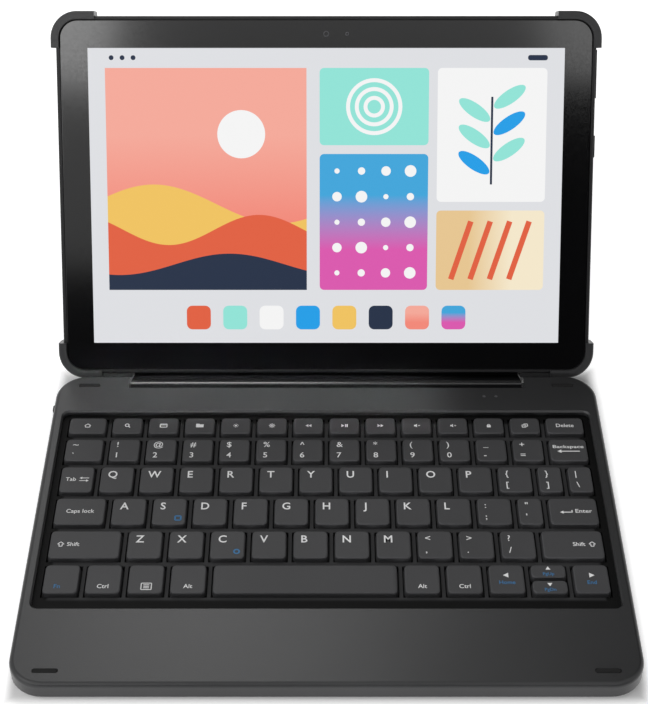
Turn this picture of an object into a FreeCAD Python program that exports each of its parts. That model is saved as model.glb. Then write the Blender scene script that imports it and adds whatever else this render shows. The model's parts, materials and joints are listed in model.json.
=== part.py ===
"""Keyboard case for a ten-inch tablet: a slim keyboard base, a hinged back cover with four corner
clips, and the tablet seated in it.  Millimetres, +Z up, desk plane at z = 0, the user at -Y.

The base is built where it stands.  The cover and the tablet are built flat, with the hinge axis on
the local X axis, local Y up the screen and local Z out of the screen, and are then swung open.
"""
import FreeCAD, Part
import math
import os
from FreeCAD import Rotation, Vector

# Keyboard base
BASE_WIDTH = 250.0
BASE_DEPTH = 178.5
BASE_CORNER = 14.0
FOOT_HEIGHT = 1.2
BASE_THICKNESS = 8.5
LOWER_COVER_HEIGHT = 2.6
COVER_WALL = 1.6
FLOOR_WALL = 1.5
TOP_EDGE_ROUND = 2.0
LOWER_EDGE_BEVEL = 1.2
SEAT_GAP = 0.15

# Key well and keys
WELL_SIDE_MARGIN = 5.0
WELL_DEPTH = 115.2
WELL_CORNER = 3.0
WELL_FROM_REAR = 24.6
WELL_STEP = 2.5
WELL_BEVEL = 0.7
BEVEL_SHARE = 0.98
WEB_THICKNESS = 1.4
WEB_UNDER_RIM = 1.4
KEY_FIELD_MARGIN = 3.2
KEY_FIELD_FROM_REAR = 28.0
KEY_GAP = 2.3
ROW_GAP = 3.0
SHORT_ROW = 10.8
NUMBER_ROW = 14.4
LETTER_ROW = 16.0
UNITS_PER_ROW = 13.52
EDGE_UNITS = 1.13
NARROW_UNITS = 0.76
CAPS_UNITS = 1.4
SHIFT_UNITS = 1.88
KEY_BELOW_DECK = 0.6
KEY_TRAVEL = 1.5
KEY_BOTTOM_ROOM = 0.3
KEY_CORNER_CUT = 1.0
KEY_TOP_INSET = 0.55
KEY_WALL = 1.0
KEY_TOP_THICKNESS = 1.3
KEY_SIDE_CLEARANCE = 0.4
ARROW_SPLIT_GAP = 0.8

# Sheets under the keys
SUPPORT_THICKNESS = 0.8
MEMBRANE_THICKNESS = 0.3
DOME_SHEET_THICKNESS = 0.3
DOME_FOOT = 2.8
DOME_HEAD = 1.4
DOME_SIDES = 4
DOME_HEAD_CLEARANCE = 0.3
STACK_MARGIN = 0.6
SHEET_CORNER_CUT = 2.0
TAIL_WIDTH = 22.0
TAIL_UNDER_BOARD = 6.0

# Electronics
BOARD_LENGTH = 62.0
BOARD_DEPTH = 13.0
BOARD_THICKNESS = 1.0
BOARD_ABOVE_FLOOR = 1.2
BOARD_FROM_SIDE = 2.2
BOARD_POST = 1.6
LIGHT_FROM_SIDE = 46.6
LIGHT_SPACING = 5.5
LIGHT_FROM_REAR = 14.5
LIGHT_RADIUS = 0.7
LIGHT_CLEARANCE = 0.05
LED_HEIGHT = 0.6
LED_SIDE = 1.6
BATTERY_LENGTH = 92.0
CELL_CORNER = 2.0
BATTERY_MARGIN = 4.4
BATTERY_THICKNESS = 3.6
WEIGHT_SIDE_MARGIN = 14.0
WEIGHT_GAP = 7.4
WEIGHT_MARGIN = 5.4
WEIGHT_THICKNESS = 3.6
SOCKET_WIDTH = 8.9
SOCKET_HEIGHT = 3.2
SOCKET_LENGTH = 7.4
SOCKET_WALL = 0.3
SOCKET_TONGUE = 0.7
ROUND_END_FLAT = 0.05
SOCKET_FROM_REAR = 18.0
SWITCH_FROM_REAR = 18.6
SWITCH_KNOB = 3.2
SWITCH_KNOB_HEIGHT = 1.6
SWITCH_PROUD = 0.7
SWITCH_TRAVEL = 2.4
SWITCH_CLEARANCE = 0.2
SWITCH_FLANGE = 0.8
SWITCH_BODY_DEPTH = 3.4

# Pads, feet and screws
PAD_LENGTH = 10.0
PAD_WIDTH = 1.9
PAD_RECESS = 0.7
PAD_PROUD = 0.3
PAD_EDGE_BEVEL = 0.2
PAD_CORNER_CUT = 0.6
PAD_FROM_SIDE = 15.0
PAD_FROM_EDGE = 7.0
FOOT_LENGTH = 14.0
FOOT_WIDTH = 6.0
FOOT_CORNER_CUT = 1.7
FOOT_RECESS = 0.6
FOOT_FROM_SIDE = 26.0
FOOT_FROM_EDGE = 8.0
SCREW_RADIUS = 0.8
SCREW_HEAD_RADIUS = 1.5
SCREW_HEAD_HEIGHT = 0.8
SCREW_BITE = 3.2
SCREW_CLEARANCE = 0.1
BOSS_RADIUS = 2.3
BOSS_GAP = 1.4
COLUMN_SIDES = 8
SCREW_FROM_SIDE = 13.0
SCREW_FROM_EDGE = 6.0

# Hinge
HORN_LENGTH = 33.0
NOTCH_DEPTH = 8.8
AXIS_FROM_REAR = 4.7
AXIS_BELOW_DECK = 3.3
OPEN_ANGLE = 122.0
BARREL_RADIUS = 3.4
BARREL_END_GAP = 1.0
BARREL_BORE = 2.65
BUSH_LENGTH = 13.0
BUSH_OUTER = 2.6
SHAFT_RADIUS = 1.95
SHAFT_CLEARANCE = 0.05
SHAFT_IN_BASE = 11.0
BLOCK_LENGTH = 9.0
BLOCK_DEPTH = 6.6
BLOCK_HEIGHT = 5.4
HINGE_TAB_LENGTH = 16.0
HINGE_TAB_THICKNESS = 1.0

# Tablet
SCREEN_WIDTH = 217.4
SCREEN_HEIGHT = 135.9
BEZEL = 12.6
TABLET_EDGE = 1.7
TABLET_CORNER = 10.0
TABLET_THICKNESS = 9.0
GLASS_THICKNESS = 0.8
GLASS_SEAT = 0.1
DISPLAY_THICKNESS = 1.6
DISPLAY_MARGIN = 0.9
DISPLAY_CORNER = 1.0
TABLET_BACK_BEVEL = 2.2
TABLET_FRONT_BEVEL = 0.5
GLASS_FROM_AXIS = 5.0
EYE_RADIUS = 1.5
SENSOR_RADIUS = 1.0
SENSOR_OFFSET = 9.5
EYE_DEPTH = 2.0
REAR_EYE_RADIUS = 4.6
REAR_EYE_DEPTH = 2.4
REAR_EYE_FROM_SIDE = 16.0
REAR_EYE_FROM_TOP = 16.0
ROCKER_LENGTH = 22.0
ROCKER_FROM_TOP = 26.0
POWER_LENGTH = 10.0
POWER_FROM_TOP = 59.0
SIDE_BUTTON_HEIGHT = 2.4
SIDE_BUTTON_DEPTH = 2.2
SIDE_BUTTON_PROUD = 0.9
SIDE_BUTTON_TRAVEL = 0.4
SIDE_BUTTON_CLEARANCE = 0.15

# Back cover
CLIP_WALL = 2.1
CLIP_FIT = 0.15
CLIP_LIP = 1.35
CLIP_LIP_THICKNESS = 1.0
CLIP_ALONG_TOP = 20.0
CLIP_ALONG_SIDE = 16.5
CLIP_LIP_BEVEL = 0.5
LEDGE_BEHIND_GLASS = 0.7
CLIP_BACK_BEVEL = 1.2
PANEL_THICKNESS = 1.6
PANEL_EDGE_BEVEL = 0.9
COVER_FROM_AXIS = 3.6
EYE_HOLE_MARGIN = 2.4

# Places worked out from the sizes above
NOTCH_LENGTH = BASE_WIDTH - 2 * HORN_LENGTH
WELL_WIDTH = BASE_WIDTH - 2 * WELL_SIDE_MARGIN
KEY_FIELD_WIDTH = WELL_WIDTH - 2 * KEY_FIELD_MARGIN
KEY_UNIT = (KEY_FIELD_WIDTH + KEY_GAP) / UNITS_PER_ROW
FLOOR_LOW = FOOT_HEIGHT
FLOOR_TOP = FLOOR_LOW + FLOOR_WALL
PARTING = FLOOR_LOW + LOWER_COVER_HEIGHT
DECK = FLOOR_LOW + BASE_THICKNESS
DECK_UNDER = DECK - COVER_WALL
WEB_TOP = DECK - WELL_STEP
KEY_TOP = DECK - KEY_BELOW_DECK
SUPPORT_TOP = FLOOR_TOP + SUPPORT_THICKNESS
MEMBRANE_TOP = SUPPORT_TOP + MEMBRANE_THICKNESS
DOME_BASE = MEMBRANE_TOP + DOME_SHEET_THICKNESS
KEY_SKIRT = DOME_BASE + KEY_TRAVEL + KEY_BOTTOM_ROOM
BOARD_LOW = FLOOR_TOP + BOARD_ABOVE_FLOOR
BOARD_TOP = BOARD_LOW + BOARD_THICKNESS
HINGE_Z = DECK - AXIS_BELOW_DECK

GLASS_WIDTH = SCREEN_WIDTH + 2 * BEZEL
GLASS_HEIGHT = SCREEN_HEIGHT + 2 * BEZEL
TABLET_WIDTH = GLASS_WIDTH + 2 * TABLET_EDGE
TABLET_HEIGHT = GLASS_HEIGHT + 2 * TABLET_EDGE
CLIP_REACH = CLIP_WALL + CLIP_FIT
COVER_WIDTH = TABLET_WIDTH + 2 * CLIP_REACH
COVER_HEIGHT = TABLET_HEIGHT + 2 * CLIP_REACH
COVER_MIDDLE = COVER_FROM_AXIS + COVER_HEIGHT / 2
GLASS_FRONT = -GLASS_FROM_AXIS
TABLET_BACK = GLASS_FRONT - TABLET_THICKNESS
PANEL_FRONT = TABLET_BACK - CLIP_FIT
PANEL_BACK = PANEL_FRONT - PANEL_THICKNESS
LIP_FRONT = GLASS_FRONT + CLIP_FIT + CLIP_LIP_THICKNESS

LEAN = math.radians(180.0 - OPEN_ANGLE)
COVER_TOP = COVER_FROM_AXIS + COVER_HEIGHT
REACH_BEHIND = COVER_TOP * math.cos(LEAN) - PANEL_BACK * math.sin(LEAN)
REACH_AHEAD = BASE_DEPTH - AXIS_FROM_REAR
HINGE_Y = (REACH_AHEAD - REACH_BEHIND) / 2
REAR_EDGE = HINGE_Y + AXIS_FROM_REAR
FRONT_EDGE = REAR_EDGE - BASE_DEPTH
BASE_MIDDLE = (REAR_EDGE + FRONT_EDGE) / 2
WELL_REAR = REAR_EDGE - WELL_FROM_REAR
WELL_FRONT = WELL_REAR - WELL_DEPTH
WELL_MIDDLE = (WELL_REAR + WELL_FRONT) / 2
NOTCH_FRONT = REAR_EDGE - NOTCH_DEPTH
PALM_REAR = WELL_FRONT - WEB_UNDER_RIM
PALM_FRONT = FRONT_EDGE + COVER_WALL
SIDE_FACE = BASE_WIDTH / 2


# Shape helpers

def block(x, y, z):
    """A box from three (low, high) pairs."""
    return Part.makeBox(x[1] - x[0], y[1] - y[0], z[1] - z[0], Vector(x[0], y[0], z[0]))


def disc(radius, x, y, z):
    """An upright cylinder between two heights."""
    return Part.makeCylinder(radius, z[1] - z[0], Vector(x, y, z[0]))


def rod(radius, x, y, z):
    """A cylinder along X between two places."""
    return Part.makeCylinder(radius, x[1] - x[0], Vector(x[0], y, z), Vector(1, 0, 0))


def slab(width, depth, z, radius, centre=(0.0, 0.0)):
    """A flat block with rounded upright corners, centred on a point of the plan."""
    x, y = centre
    body = block((x - width / 2, x + width / 2), (y - depth / 2, y + depth / 2), z)
    upright = [e for e in body.Edges if abs(e.BoundBox.ZLength - (z[1] - z[0])) < 1e-6]
    return body.makeFillet(radius, upright)


def round_rim(body, height, radius):
    """Rounds every edge that lies in one level plane."""
    level = [e for e in body.Edges
             if e.BoundBox.ZLength < 1e-6 and abs(e.BoundBox.ZMin - height) < 1e-6]
    return body.makeFillet(radius, level)


def bevel_rim(body, height, size):
    """Bevels every edge that lies in one level plane."""
    level = [e for e in body.Edges
             if e.BoundBox.ZLength < 1e-6 and abs(e.BoundBox.ZMin - height) < 1e-6]
    return body.makeChamfer(size, level)


def polygon_face(points):
    return Part.Face(Part.makePolygon(points + points[:1]))


def flat_sided(low, high):
    """A solid with flat sides between two outlines of as many corners."""
    faces = [polygon_face(low), polygon_face(high)]
    for i in range(len(low)):
        j = (i + 1) % len(low)
        faces.append(polygon_face([low[i], low[j], high[j], high[i]]))
    solid = Part.makeSolid(Part.makeShell(faces))
    if solid.Volume < 0:
        solid.reverse()
    return solid


def ring(sides, radius, x, y, z):
    """Corners of a regular outline."""
    turn = 2 * math.pi / sides
    return [Vector(x + radius * math.cos((i + 0.5) * turn), y + radius * math.sin((i + 0.5) * turn), z)
            for i in range(sides)]


def column(radius, x, y, z):
    """An upright eight-sided column or hole."""
    return flat_sided(ring(COLUMN_SIDES, radius, x, y, z[0]), ring(COLUMN_SIDES, radius, x, y, z[1]))


def cut_corner_outline(x, y, cut, z):
    """Corners of a rectangle whose four corners are cut across."""
    (x0, x1), (y0, y1) = x, y
    plan = [(x0 + cut, y0), (x1 - cut, y0), (x1, y0 + cut), (x1, y1 - cut),
            (x1 - cut, y1), (x0 + cut, y1), (x0, y1 - cut), (x0, y0 + cut)]
    return [Vector(px, py, z) for px, py in plan]


def inset(pair, amount):
    return (pair[0] + amount, pair[1] - amount)


def cut_corner_slab(x, y, z, cut, draw_in=0.0):
    """A block with cut corners, its top drawn in by a set amount."""
    return flat_sided(cut_corner_outline(x, y, cut, z[0]),
                      cut_corner_outline(inset(x, draw_in), inset(y, draw_in), cut, z[1]))


def around(middle, length):
    return (middle - length / 2, middle + length / 2)


def fuse(first, *others):
    return first.fuse(list(others)).removeSplitter()


def group(solids):
    return Part.makeCompound(list(solids))


def swung(shape):
    """Carries a piece of the cover from its flat building place to the open position."""
    moved = shape.copy()
    moved.rotate(Vector(0, 0, 0), Vector(1, 0, 0), math.degrees(LEAN))
    moved.translate(Vector(0, HINGE_Y, HINGE_Z))
    return moved


# Key layout

def units(count):
    """Width of a key that takes up a number of letter pitches."""
    return count * KEY_UNIT - KEY_GAP


def key_rows():
    """Six rows from the hinge forwards: depth, then keys as (name, width), None taking what is left."""
    letter = units(1)
    edge = units(EDGE_UNITS)
    narrow = units(NARROW_UNITS)
    function = [f"function_{i}" for i in range(1, 13)]
    digits = [f"digit_{i}" for i in range(1, 11)] + ["minus", "equals"]
    small = (KEY_FIELD_WIDTH - 2 * edge - KEY_GAP) / len(function) - KEY_GAP
    def run(names, width):
        return [(name, width) for name in names]
    def letters(row):
        return run([f"letter_{c}" for c in row], letter)
    return [
        (SHORT_ROW, [("home", edge)] + run(function, small) + [("delete", None)]),
        (NUMBER_ROW, [("grave", edge)] + run(digits, small) + [("backspace", None)]),
        (LETTER_ROW, [("tab", letter)] + letters("qwertyuiop")
         + [("left_bracket", letter), ("right_bracket", narrow), ("backslash", None)]),
        (LETTER_ROW, [("caps_lock", units(CAPS_UNITS))] + letters("asdfghjkl")
         + [("semicolon", letter), ("quote", narrow), ("enter", None)]),
        (LETTER_ROW, [("left_shift", units(SHIFT_UNITS))] + letters("zxcvbnm")
         + run(["comma", "full_stop", "slash"], letter) + [("right_shift", None)]),
        (LETTER_ROW, run(["fn", "left_ctrl", "menu", "left_alt"], letter) + [("space", None)]
         + run(["right_alt", "right_ctrl", "arrow_left", "arrow_up_down", "arrow_right"], letter)),
    ]


def key_places():
    """Each key's name with its plan box ((x0, x1), (y0, y1)); the up and down arrows share a place."""
    places = {}
    rear = REAR_EDGE - KEY_FIELD_FROM_REAR
    for depth, keys in key_rows():
        spare = KEY_FIELD_WIDTH - KEY_GAP * (len(keys) - 1) - sum(w for _, w in keys if w)
        x = -KEY_FIELD_WIDTH / 2
        for name, width in keys:
            width = width or spare
            x_range = (x, x + width)
            if name == "arrow_up_down":
                half = (depth - ARROW_SPLIT_GAP) / 2
                places["arrow_up"] = (x_range, (rear - half, rear))
                places["arrow_down"] = (x_range, (rear - depth, rear - depth + half))
            else:
                places[name] = (x_range, (rear - depth, rear))
            x += width + KEY_GAP
        rear -= depth + ROW_GAP
    return places


KEY_GROUPS = {
    "function_keys": ["home"] + [f"function_{i}" for i in range(1, 13)],
    "number_keys": ["grave"] + [f"digit_{i}" for i in range(1, 11)] + ["minus", "equals"],
    "upper_letter_keys": [f"letter_{c}" for c in "qwertyuiop"]
    + ["left_bracket", "right_bracket", "backslash"],
    "home_letter_keys": [f"letter_{c}" for c in "asdfghjkl"] + ["semicolon", "quote"],
    "lower_letter_keys": [f"letter_{c}" for c in "zxcvbnm"] + ["comma", "full_stop", "slash"],
}


def keycap(x, y):
    """A hollow cap with a drawn-in top, open below."""
    outer = cut_corner_slab(x, y, (KEY_SKIRT, KEY_TOP), KEY_CORNER_CUT, KEY_TOP_INSET)
    wall = KEY_WALL + KEY_TOP_INSET
    hollow = block(inset(x, wall), inset(y, wall), (KEY_SKIRT, KEY_TOP - KEY_TOP_THICKNESS))
    return outer.cut(hollow)


def dome(x, y):
    """A rubber dome under one key: a tapered stub on the sheet."""
    head = KEY_TOP - KEY_TOP_THICKNESS - DOME_HEAD_CLEARANCE
    return flat_sided(ring(DOME_SIDES, DOME_FOOT, x, y, DOME_BASE), ring(DOME_SIDES, DOME_HEAD, x, y, head))


# Keyboard base pieces

def base_prism(z, shrink=0.0):
    return slab(BASE_WIDTH - 2 * shrink, BASE_DEPTH - 2 * shrink, z, BASE_CORNER - shrink, (0, BASE_MIDDLE))


def notch(z, grow=0.0):
    half = NOTCH_LENGTH / 2 + grow
    return block((-half, half), (NOTCH_FRONT - grow, REAR_EDGE + BASE_CORNER), z)


def well(z, grow=0.0):
    return slab(WELL_WIDTH + 2 * grow, WELL_DEPTH + 2 * grow, z, WELL_CORNER + grow, (0, WELL_MIDDLE))


def boss_places():
    """Cover screws: one near each corner and two behind the key well."""
    far = SIDE_FACE - SCREW_FROM_SIDE
    front = FRONT_EDGE + SCREW_FROM_EDGE
    rear = REAR_EDGE - SCREW_FROM_EDGE
    behind_well = (WELL_REAR + NOTCH_FRONT) / 2
    left_of_board = board_range()[0] - BOSS_GAP - BOSS_RADIUS
    return [(-far, front), (far, front), (-far, rear), (far, rear),
            (-left_of_board, behind_well), (left_of_board, behind_well)]


def socket_place():
    return REAR_EDGE - SOCKET_FROM_REAR


def switch_place():
    return REAR_EDGE - SWITCH_FROM_REAR


def side_slot(side, y, width, z, round_ends):
    """A slot through a side wall; round ends for a plug, square ones for a slider."""
    x = sorted((side * (SIDE_FACE - 2 * COVER_WALL), side * (SIDE_FACE + COVER_WALL)))
    cut = block(x, (y - width / 2, y + width / 2), z)
    if not round_ends:
        return cut
    along = [e for e in cut.Edges if e.BoundBox.XLength > COVER_WALL]
    return cut.makeFillet((z[1] - z[0]) / 2 - ROUND_END_FLAT, along)


def socket_heights():
    return (BOARD_TOP, BOARD_TOP + SOCKET_HEIGHT)


def switch_heights():
    middle = BOARD_TOP + SOCKET_HEIGHT / 2
    return (middle - SWITCH_KNOB_HEIGHT / 2, middle + SWITCH_KNOB_HEIGHT / 2)


def light_places():
    outer = SIDE_FACE - LIGHT_FROM_SIDE
    y = REAR_EDGE - LIGHT_FROM_REAR
    return [(outer - LIGHT_SPACING, y), (outer, y)]


def pad_places():
    x = SIDE_FACE - PAD_FROM_SIDE
    return [(sx * x, y) for sx in (-1, 1) for y in (FRONT_EDGE + PAD_FROM_EDGE, REAR_EDGE - PAD_FROM_EDGE)]


def pad(x, y, z, grow=0.0):
    """A pad or its recess, from the recess floor up; a pad's top is bevelled."""
    across = around(x, PAD_LENGTH + 2 * grow)
    along = around(y, PAD_WIDTH + 2 * grow)
    if grow:
        return cut_corner_slab(across, along, z, PAD_CORNER_CUT)
    shoulder = z[1] - PAD_EDGE_BEVEL
    body = cut_corner_slab(across, along, (z[0], shoulder), PAD_CORNER_CUT)
    return fuse(body, cut_corner_slab(across, along, (shoulder, z[1]), PAD_CORNER_CUT, PAD_EDGE_BEVEL))


def base_top_cover():
    """Deck moulding: rounded rim, key well with its rim wall, hinge notch, screw bosses and slots."""
    outer = round_rim(base_prism((PARTING, DECK)), DECK, TOP_EDGE_ROUND)
    cavity = base_prism((PARTING, DECK_UNDER), COVER_WALL)
    notch_wall = outer.common(notch((PARTING, DECK), COVER_WALL))
    rim = well((WEB_TOP, DECK_UNDER), COVER_WALL)
    bosses = [column(BOSS_RADIUS, x, y, (FLOOR_TOP, DECK_UNDER)) for x, y in boss_places()]
    body = fuse(outer.cut(cavity), notch_wall, rim, *bosses)
    foot_of_bevel = DECK - WELL_BEVEL
    mouth = well((foot_of_bevel, DECK + 1), WELL_BEVEL)
    mouth = bevel_rim(mouth, foot_of_bevel, WELL_BEVEL * BEVEL_SHARE)
    body = body.cut([notch((PARTING - 1, DECK + 1)), well((PARTING, DECK + 1)), mouth])
    bite = (FLOOR_TOP - 1, FLOOR_LOW + SCREW_HEAD_HEIGHT + SCREW_BITE)
    holes = [column(SCREW_RADIUS, x, y, bite) for x, y in boss_places()]
    window = LIGHT_RADIUS + LIGHT_CLEARANCE
    holes += [column(window, x, y, (DECK_UNDER - 1, DECK + 1)) for x, y in light_places()]
    holes += [pad(x, y, (DECK - PAD_RECESS, DECK + 1), SEAT_GAP) for x, y in pad_places()]
    for side in (-1, 1):
        holes.append(rod(SHAFT_RADIUS + SEAT_GAP, inset(shaft_range(side), -SEAT_GAP), HINGE_Y, HINGE_Z))
    mouth = inset(socket_heights(), -SEAT_GAP)
    holes.append(side_slot(1, socket_place(), SOCKET_WIDTH + 2 * SEAT_GAP, mouth, True))
    track = inset(switch_heights(), -SWITCH_CLEARANCE)
    track_length = SWITCH_KNOB + SWITCH_TRAVEL + 2 * SWITCH_CLEARANCE
    holes.append(side_slot(-1, switch_place(), track_length, track, False))
    return body.cut(holes)


def base_bottom_cover():
    """Tray under the base with foot recesses, screw holes and board posts."""
    outer = bevel_rim(base_prism((FLOOR_LOW, PARTING)), FLOOR_LOW, LOWER_EDGE_BEVEL)
    cavity = base_prism((FLOOR_TOP, PARTING + 1), COVER_WALL)
    notch_wall = outer.common(notch((FLOOR_LOW, PARTING), COVER_WALL))
    x0, x1 = board_range()
    y0, y1 = board_depth_range()
    posts = [column(BOARD_POST, x, y, (FLOOR_TOP, BOARD_LOW))
             for x in (x0 + BOARD_POST, x1 - BOARD_POST) for y in (y0 + BOARD_POST, y1 - BOARD_POST)]
    body = fuse(outer.cut(cavity), notch_wall, *posts).cut(notch((0, PARTING + 1)))
    cuts = [foot(x, y, (0, FLOOR_LOW + FOOT_RECESS), SEAT_GAP) for x, y in foot_places()]
    for x, y in boss_places():
        cuts.append(column(SCREW_RADIUS + SCREW_CLEARANCE, x, y, (0, PARTING)))
        cuts.append(disc(SCREW_HEAD_RADIUS + SCREW_CLEARANCE, x, y, (0, FLOOR_LOW + SCREW_HEAD_HEIGHT)))
    return body.cut(cuts)


def foot_places():
    x = SIDE_FACE - FOOT_FROM_SIDE
    return [(sx * x, y) for sx in (-1, 1) for y in (FRONT_EDGE + FOOT_FROM_EDGE, REAR_EDGE - FOOT_FROM_EDGE)]


def foot(x, y, z, grow=0.0):
    across = around(x, FOOT_LENGTH + 2 * grow)
    return cut_corner_slab(across, around(y, FOOT_WIDTH + 2 * grow), z, FOOT_CORNER_CUT)


def rubber_feet():
    return group(foot(x, y, (0, FLOOR_LOW + FOOT_RECESS)) for x, y in foot_places())


def deck_pads():
    top = DECK + PAD_PROUD
    return group(pad(x, y, (DECK - PAD_RECESS, top)) for x, y in pad_places())


def screw(x, y):
    head = disc(SCREW_HEAD_RADIUS, x, y, (FLOOR_LOW, FLOOR_LOW + SCREW_HEAD_HEIGHT))
    shank = column(SCREW_RADIUS, x, y, (FLOOR_LOW, FLOOR_LOW + SCREW_HEAD_HEIGHT + SCREW_BITE))
    return fuse(head, shank)


def cover_screws():
    return group(screw(x, y) for x, y in boss_places())


def key_web(places):
    """Plate between the keys, held up under the rim of the well."""
    body = well((WEB_TOP - WEB_THICKNESS, WEB_TOP), WEB_UNDER_RIM)
    grow = -KEY_SIDE_CLEARANCE
    holes = []
    for name, (x, y) in places.items():
        if name == "arrow_down":
            continue
        if name == "arrow_up":
            y = (places["arrow_down"][1][0], y[1])
        holes.append(block(inset(x, grow), inset(y, grow), (WEB_TOP - WEB_THICKNESS - 1, WEB_TOP + 1)))
    return body.cut(holes)


def stack_sheet(z):
    """A flat sheet under the key field."""
    across = around(0.0, WELL_WIDTH + 2 * STACK_MARGIN)
    return cut_corner_slab(across, around(WELL_MIDDLE, WELL_DEPTH + 2 * STACK_MARGIN), z, SHEET_CORNER_CUT)


def support_plate():
    return stack_sheet((FLOOR_TOP, SUPPORT_TOP))


def membrane_sheet():
    """Printed contact film with a tail that runs under the board."""
    x0, x1 = board_range()
    middle = (x0 + x1) / 2
    tail_x = (middle - TAIL_WIDTH / 2, middle + TAIL_WIDTH / 2)
    tail_y = (WELL_REAR, board_depth_range()[0] + TAIL_UNDER_BOARD)
    tail = block(tail_x, tail_y, (SUPPORT_TOP, MEMBRANE_TOP))
    return fuse(stack_sheet((SUPPORT_TOP, MEMBRANE_TOP)), tail)


def dome_sheet(places):
    sheet = stack_sheet((MEMBRANE_TOP, DOME_BASE))
    return fuse(sheet, *[dome((x[0] + x[1]) / 2, (y[0] + y[1]) / 2) for x, y in places.values()])


def board_range():
    right = SIDE_FACE - COVER_WALL - BOARD_FROM_SIDE
    return (right - BOARD_LENGTH, right)


def board_depth_range():
    rear = NOTCH_FRONT - COVER_WALL - SEAT_GAP
    return (rear - BOARD_DEPTH, rear)


def controller_board():
    """Circuit board with its two indicator lamps."""
    lamps = [block((x - LED_SIDE / 2, x + LED_SIDE / 2), (y - LED_SIDE / 2, y + LED_SIDE / 2),
                   (BOARD_TOP, BOARD_TOP + LED_HEIGHT)) for x, y in light_places()]
    return fuse(block(board_range(), board_depth_range(), (BOARD_LOW, BOARD_TOP)), *lamps)


def light_pipes():
    return group(column(LIGHT_RADIUS, x, y, (BOARD_TOP + LED_HEIGHT, DECK)) for x, y in light_places())


def charge_socket():
    """Flat-oval metal shell with a contact tongue, open at the side of the base."""
    y, (low, high) = socket_place(), socket_heights()
    x = (SIDE_FACE - SOCKET_LENGTH, SIDE_FACE - COVER_WALL * 0.2)
    def oval(shrink, x_range):
        body = block(x_range, (y - SOCKET_WIDTH / 2 + shrink, y + SOCKET_WIDTH / 2 - shrink),
                     (low + shrink, high - shrink))
        along = [e for e in body.Edges if abs(e.BoundBox.XLength - (x_range[1] - x_range[0])) < 1e-6]
        return body.makeFillet((high - low) / 2 - shrink - ROUND_END_FLAT, along)
    middle = (low + high) / 2
    tongue = block((x[0], x[1] - SOCKET_LENGTH / 4), (y - SOCKET_WIDTH / 3, y + SOCKET_WIDTH / 3),
                   (middle - SOCKET_TONGUE / 2, middle + SOCKET_TONGUE / 2))
    hollow = oval(SOCKET_WALL, (x[0] + 3 * SOCKET_WALL, x[1] + 1))
    return fuse(oval(0.0, x).cut(hollow), tongue)


def power_switch():
    """Slider knob in the left-hand wall, with a flange behind the wall."""
    y, (low, high) = switch_place() - SWITCH_TRAVEL / 2, switch_heights()
    inner = -SIDE_FACE + COVER_WALL + SWITCH_CLEARANCE
    knob = block((-SIDE_FACE - SWITCH_PROUD, inner), (y - SWITCH_KNOB / 2, y + SWITCH_KNOB / 2), (low, high))
    flange = block((inner, inner + SWITCH_FLANGE),
                   (y - SWITCH_KNOB / 2 - SWITCH_FLANGE, y + SWITCH_KNOB / 2 + SWITCH_FLANGE),
                   (low - SWITCH_FLANGE, high))
    return fuse(knob, flange)


def switch_body():
    """Body of the slide switch, on the floor behind the knob."""
    y, (low, high) = switch_place(), switch_heights()
    left = -SIDE_FACE + COVER_WALL + 2 * SWITCH_CLEARANCE + SWITCH_FLANGE
    half = (SWITCH_KNOB + SWITCH_TRAVEL) / 2 + SWITCH_FLANGE
    return block((left, left + SWITCH_BODY_DEPTH), (y - half, y + half), (FLOOR_TOP, high))


def palm_slab(x, margin, thickness):
    """A flat piece on the floor of the palm rest, set in from its front and rear walls."""
    depth = PALM_REAR - PALM_FRONT - 2 * margin
    centre = ((x[0] + x[1]) / 2, (PALM_REAR + PALM_FRONT) / 2)
    across = around(centre[0], x[1] - x[0])
    return cut_corner_slab(across, around(centre[1], depth), (FLOOR_TOP, FLOOR_TOP + thickness), CELL_CORNER)


def battery_pack():
    half = BATTERY_LENGTH / 2
    return palm_slab((-half, half), BATTERY_MARGIN, BATTERY_THICKNESS)


def balance_weights():
    """Steel bars beside the battery that keep the open case from tipping back."""
    near = BATTERY_LENGTH / 2 + WEIGHT_GAP
    far = SIDE_FACE - WEIGHT_SIDE_MARGIN
    return group(palm_slab(x, WEIGHT_MARGIN, WEIGHT_THICKNESS) for x in ((-far, -near), (near, far)))


# Hinge pieces

def shaft_range(side):
    inner = NOTCH_LENGTH / 2 - BARREL_END_GAP - BUSH_LENGTH
    ends = (inner, NOTCH_LENGTH / 2 + SHAFT_IN_BASE)
    return ends if side > 0 else (-ends[1], -ends[0])


def hinge_shafts():
    return group(rod(SHAFT_RADIUS, shaft_range(s), HINGE_Y, HINGE_Z) for s in (-1, 1))


def hinge_blocks():
    """Steel blocks in the rear horns of the base that hold the shafts, each with a foot on the floor."""
    solids = []
    for s in (-1, 1):
        inner = NOTCH_LENGTH / 2 + COVER_WALL + SEAT_GAP
        x = (inner, inner + BLOCK_LENGTH) if s > 0 else (-inner - BLOCK_LENGTH, -inner)
        y = (HINGE_Y - BLOCK_DEPTH / 2 - 1.0, HINGE_Y + BLOCK_DEPTH / 2 - 1.0)
        body = block(x, y, (FLOOR_TOP, FLOOR_TOP + BLOCK_HEIGHT))
        tab = block(x, (y[0] - HINGE_TAB_LENGTH / 2, y[0]), (FLOOR_TOP, FLOOR_TOP + HINGE_TAB_THICKNESS))
        bore = rod(SHAFT_RADIUS + SHAFT_CLEARANCE, (-SIDE_FACE, SIDE_FACE), HINGE_Y, HINGE_Z)
        solids.append(fuse(body, tab).cut(bore))
    return group(solids)


def barrel_range():
    half = NOTCH_LENGTH / 2 - BARREL_END_GAP
    return (-half, half)


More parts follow.
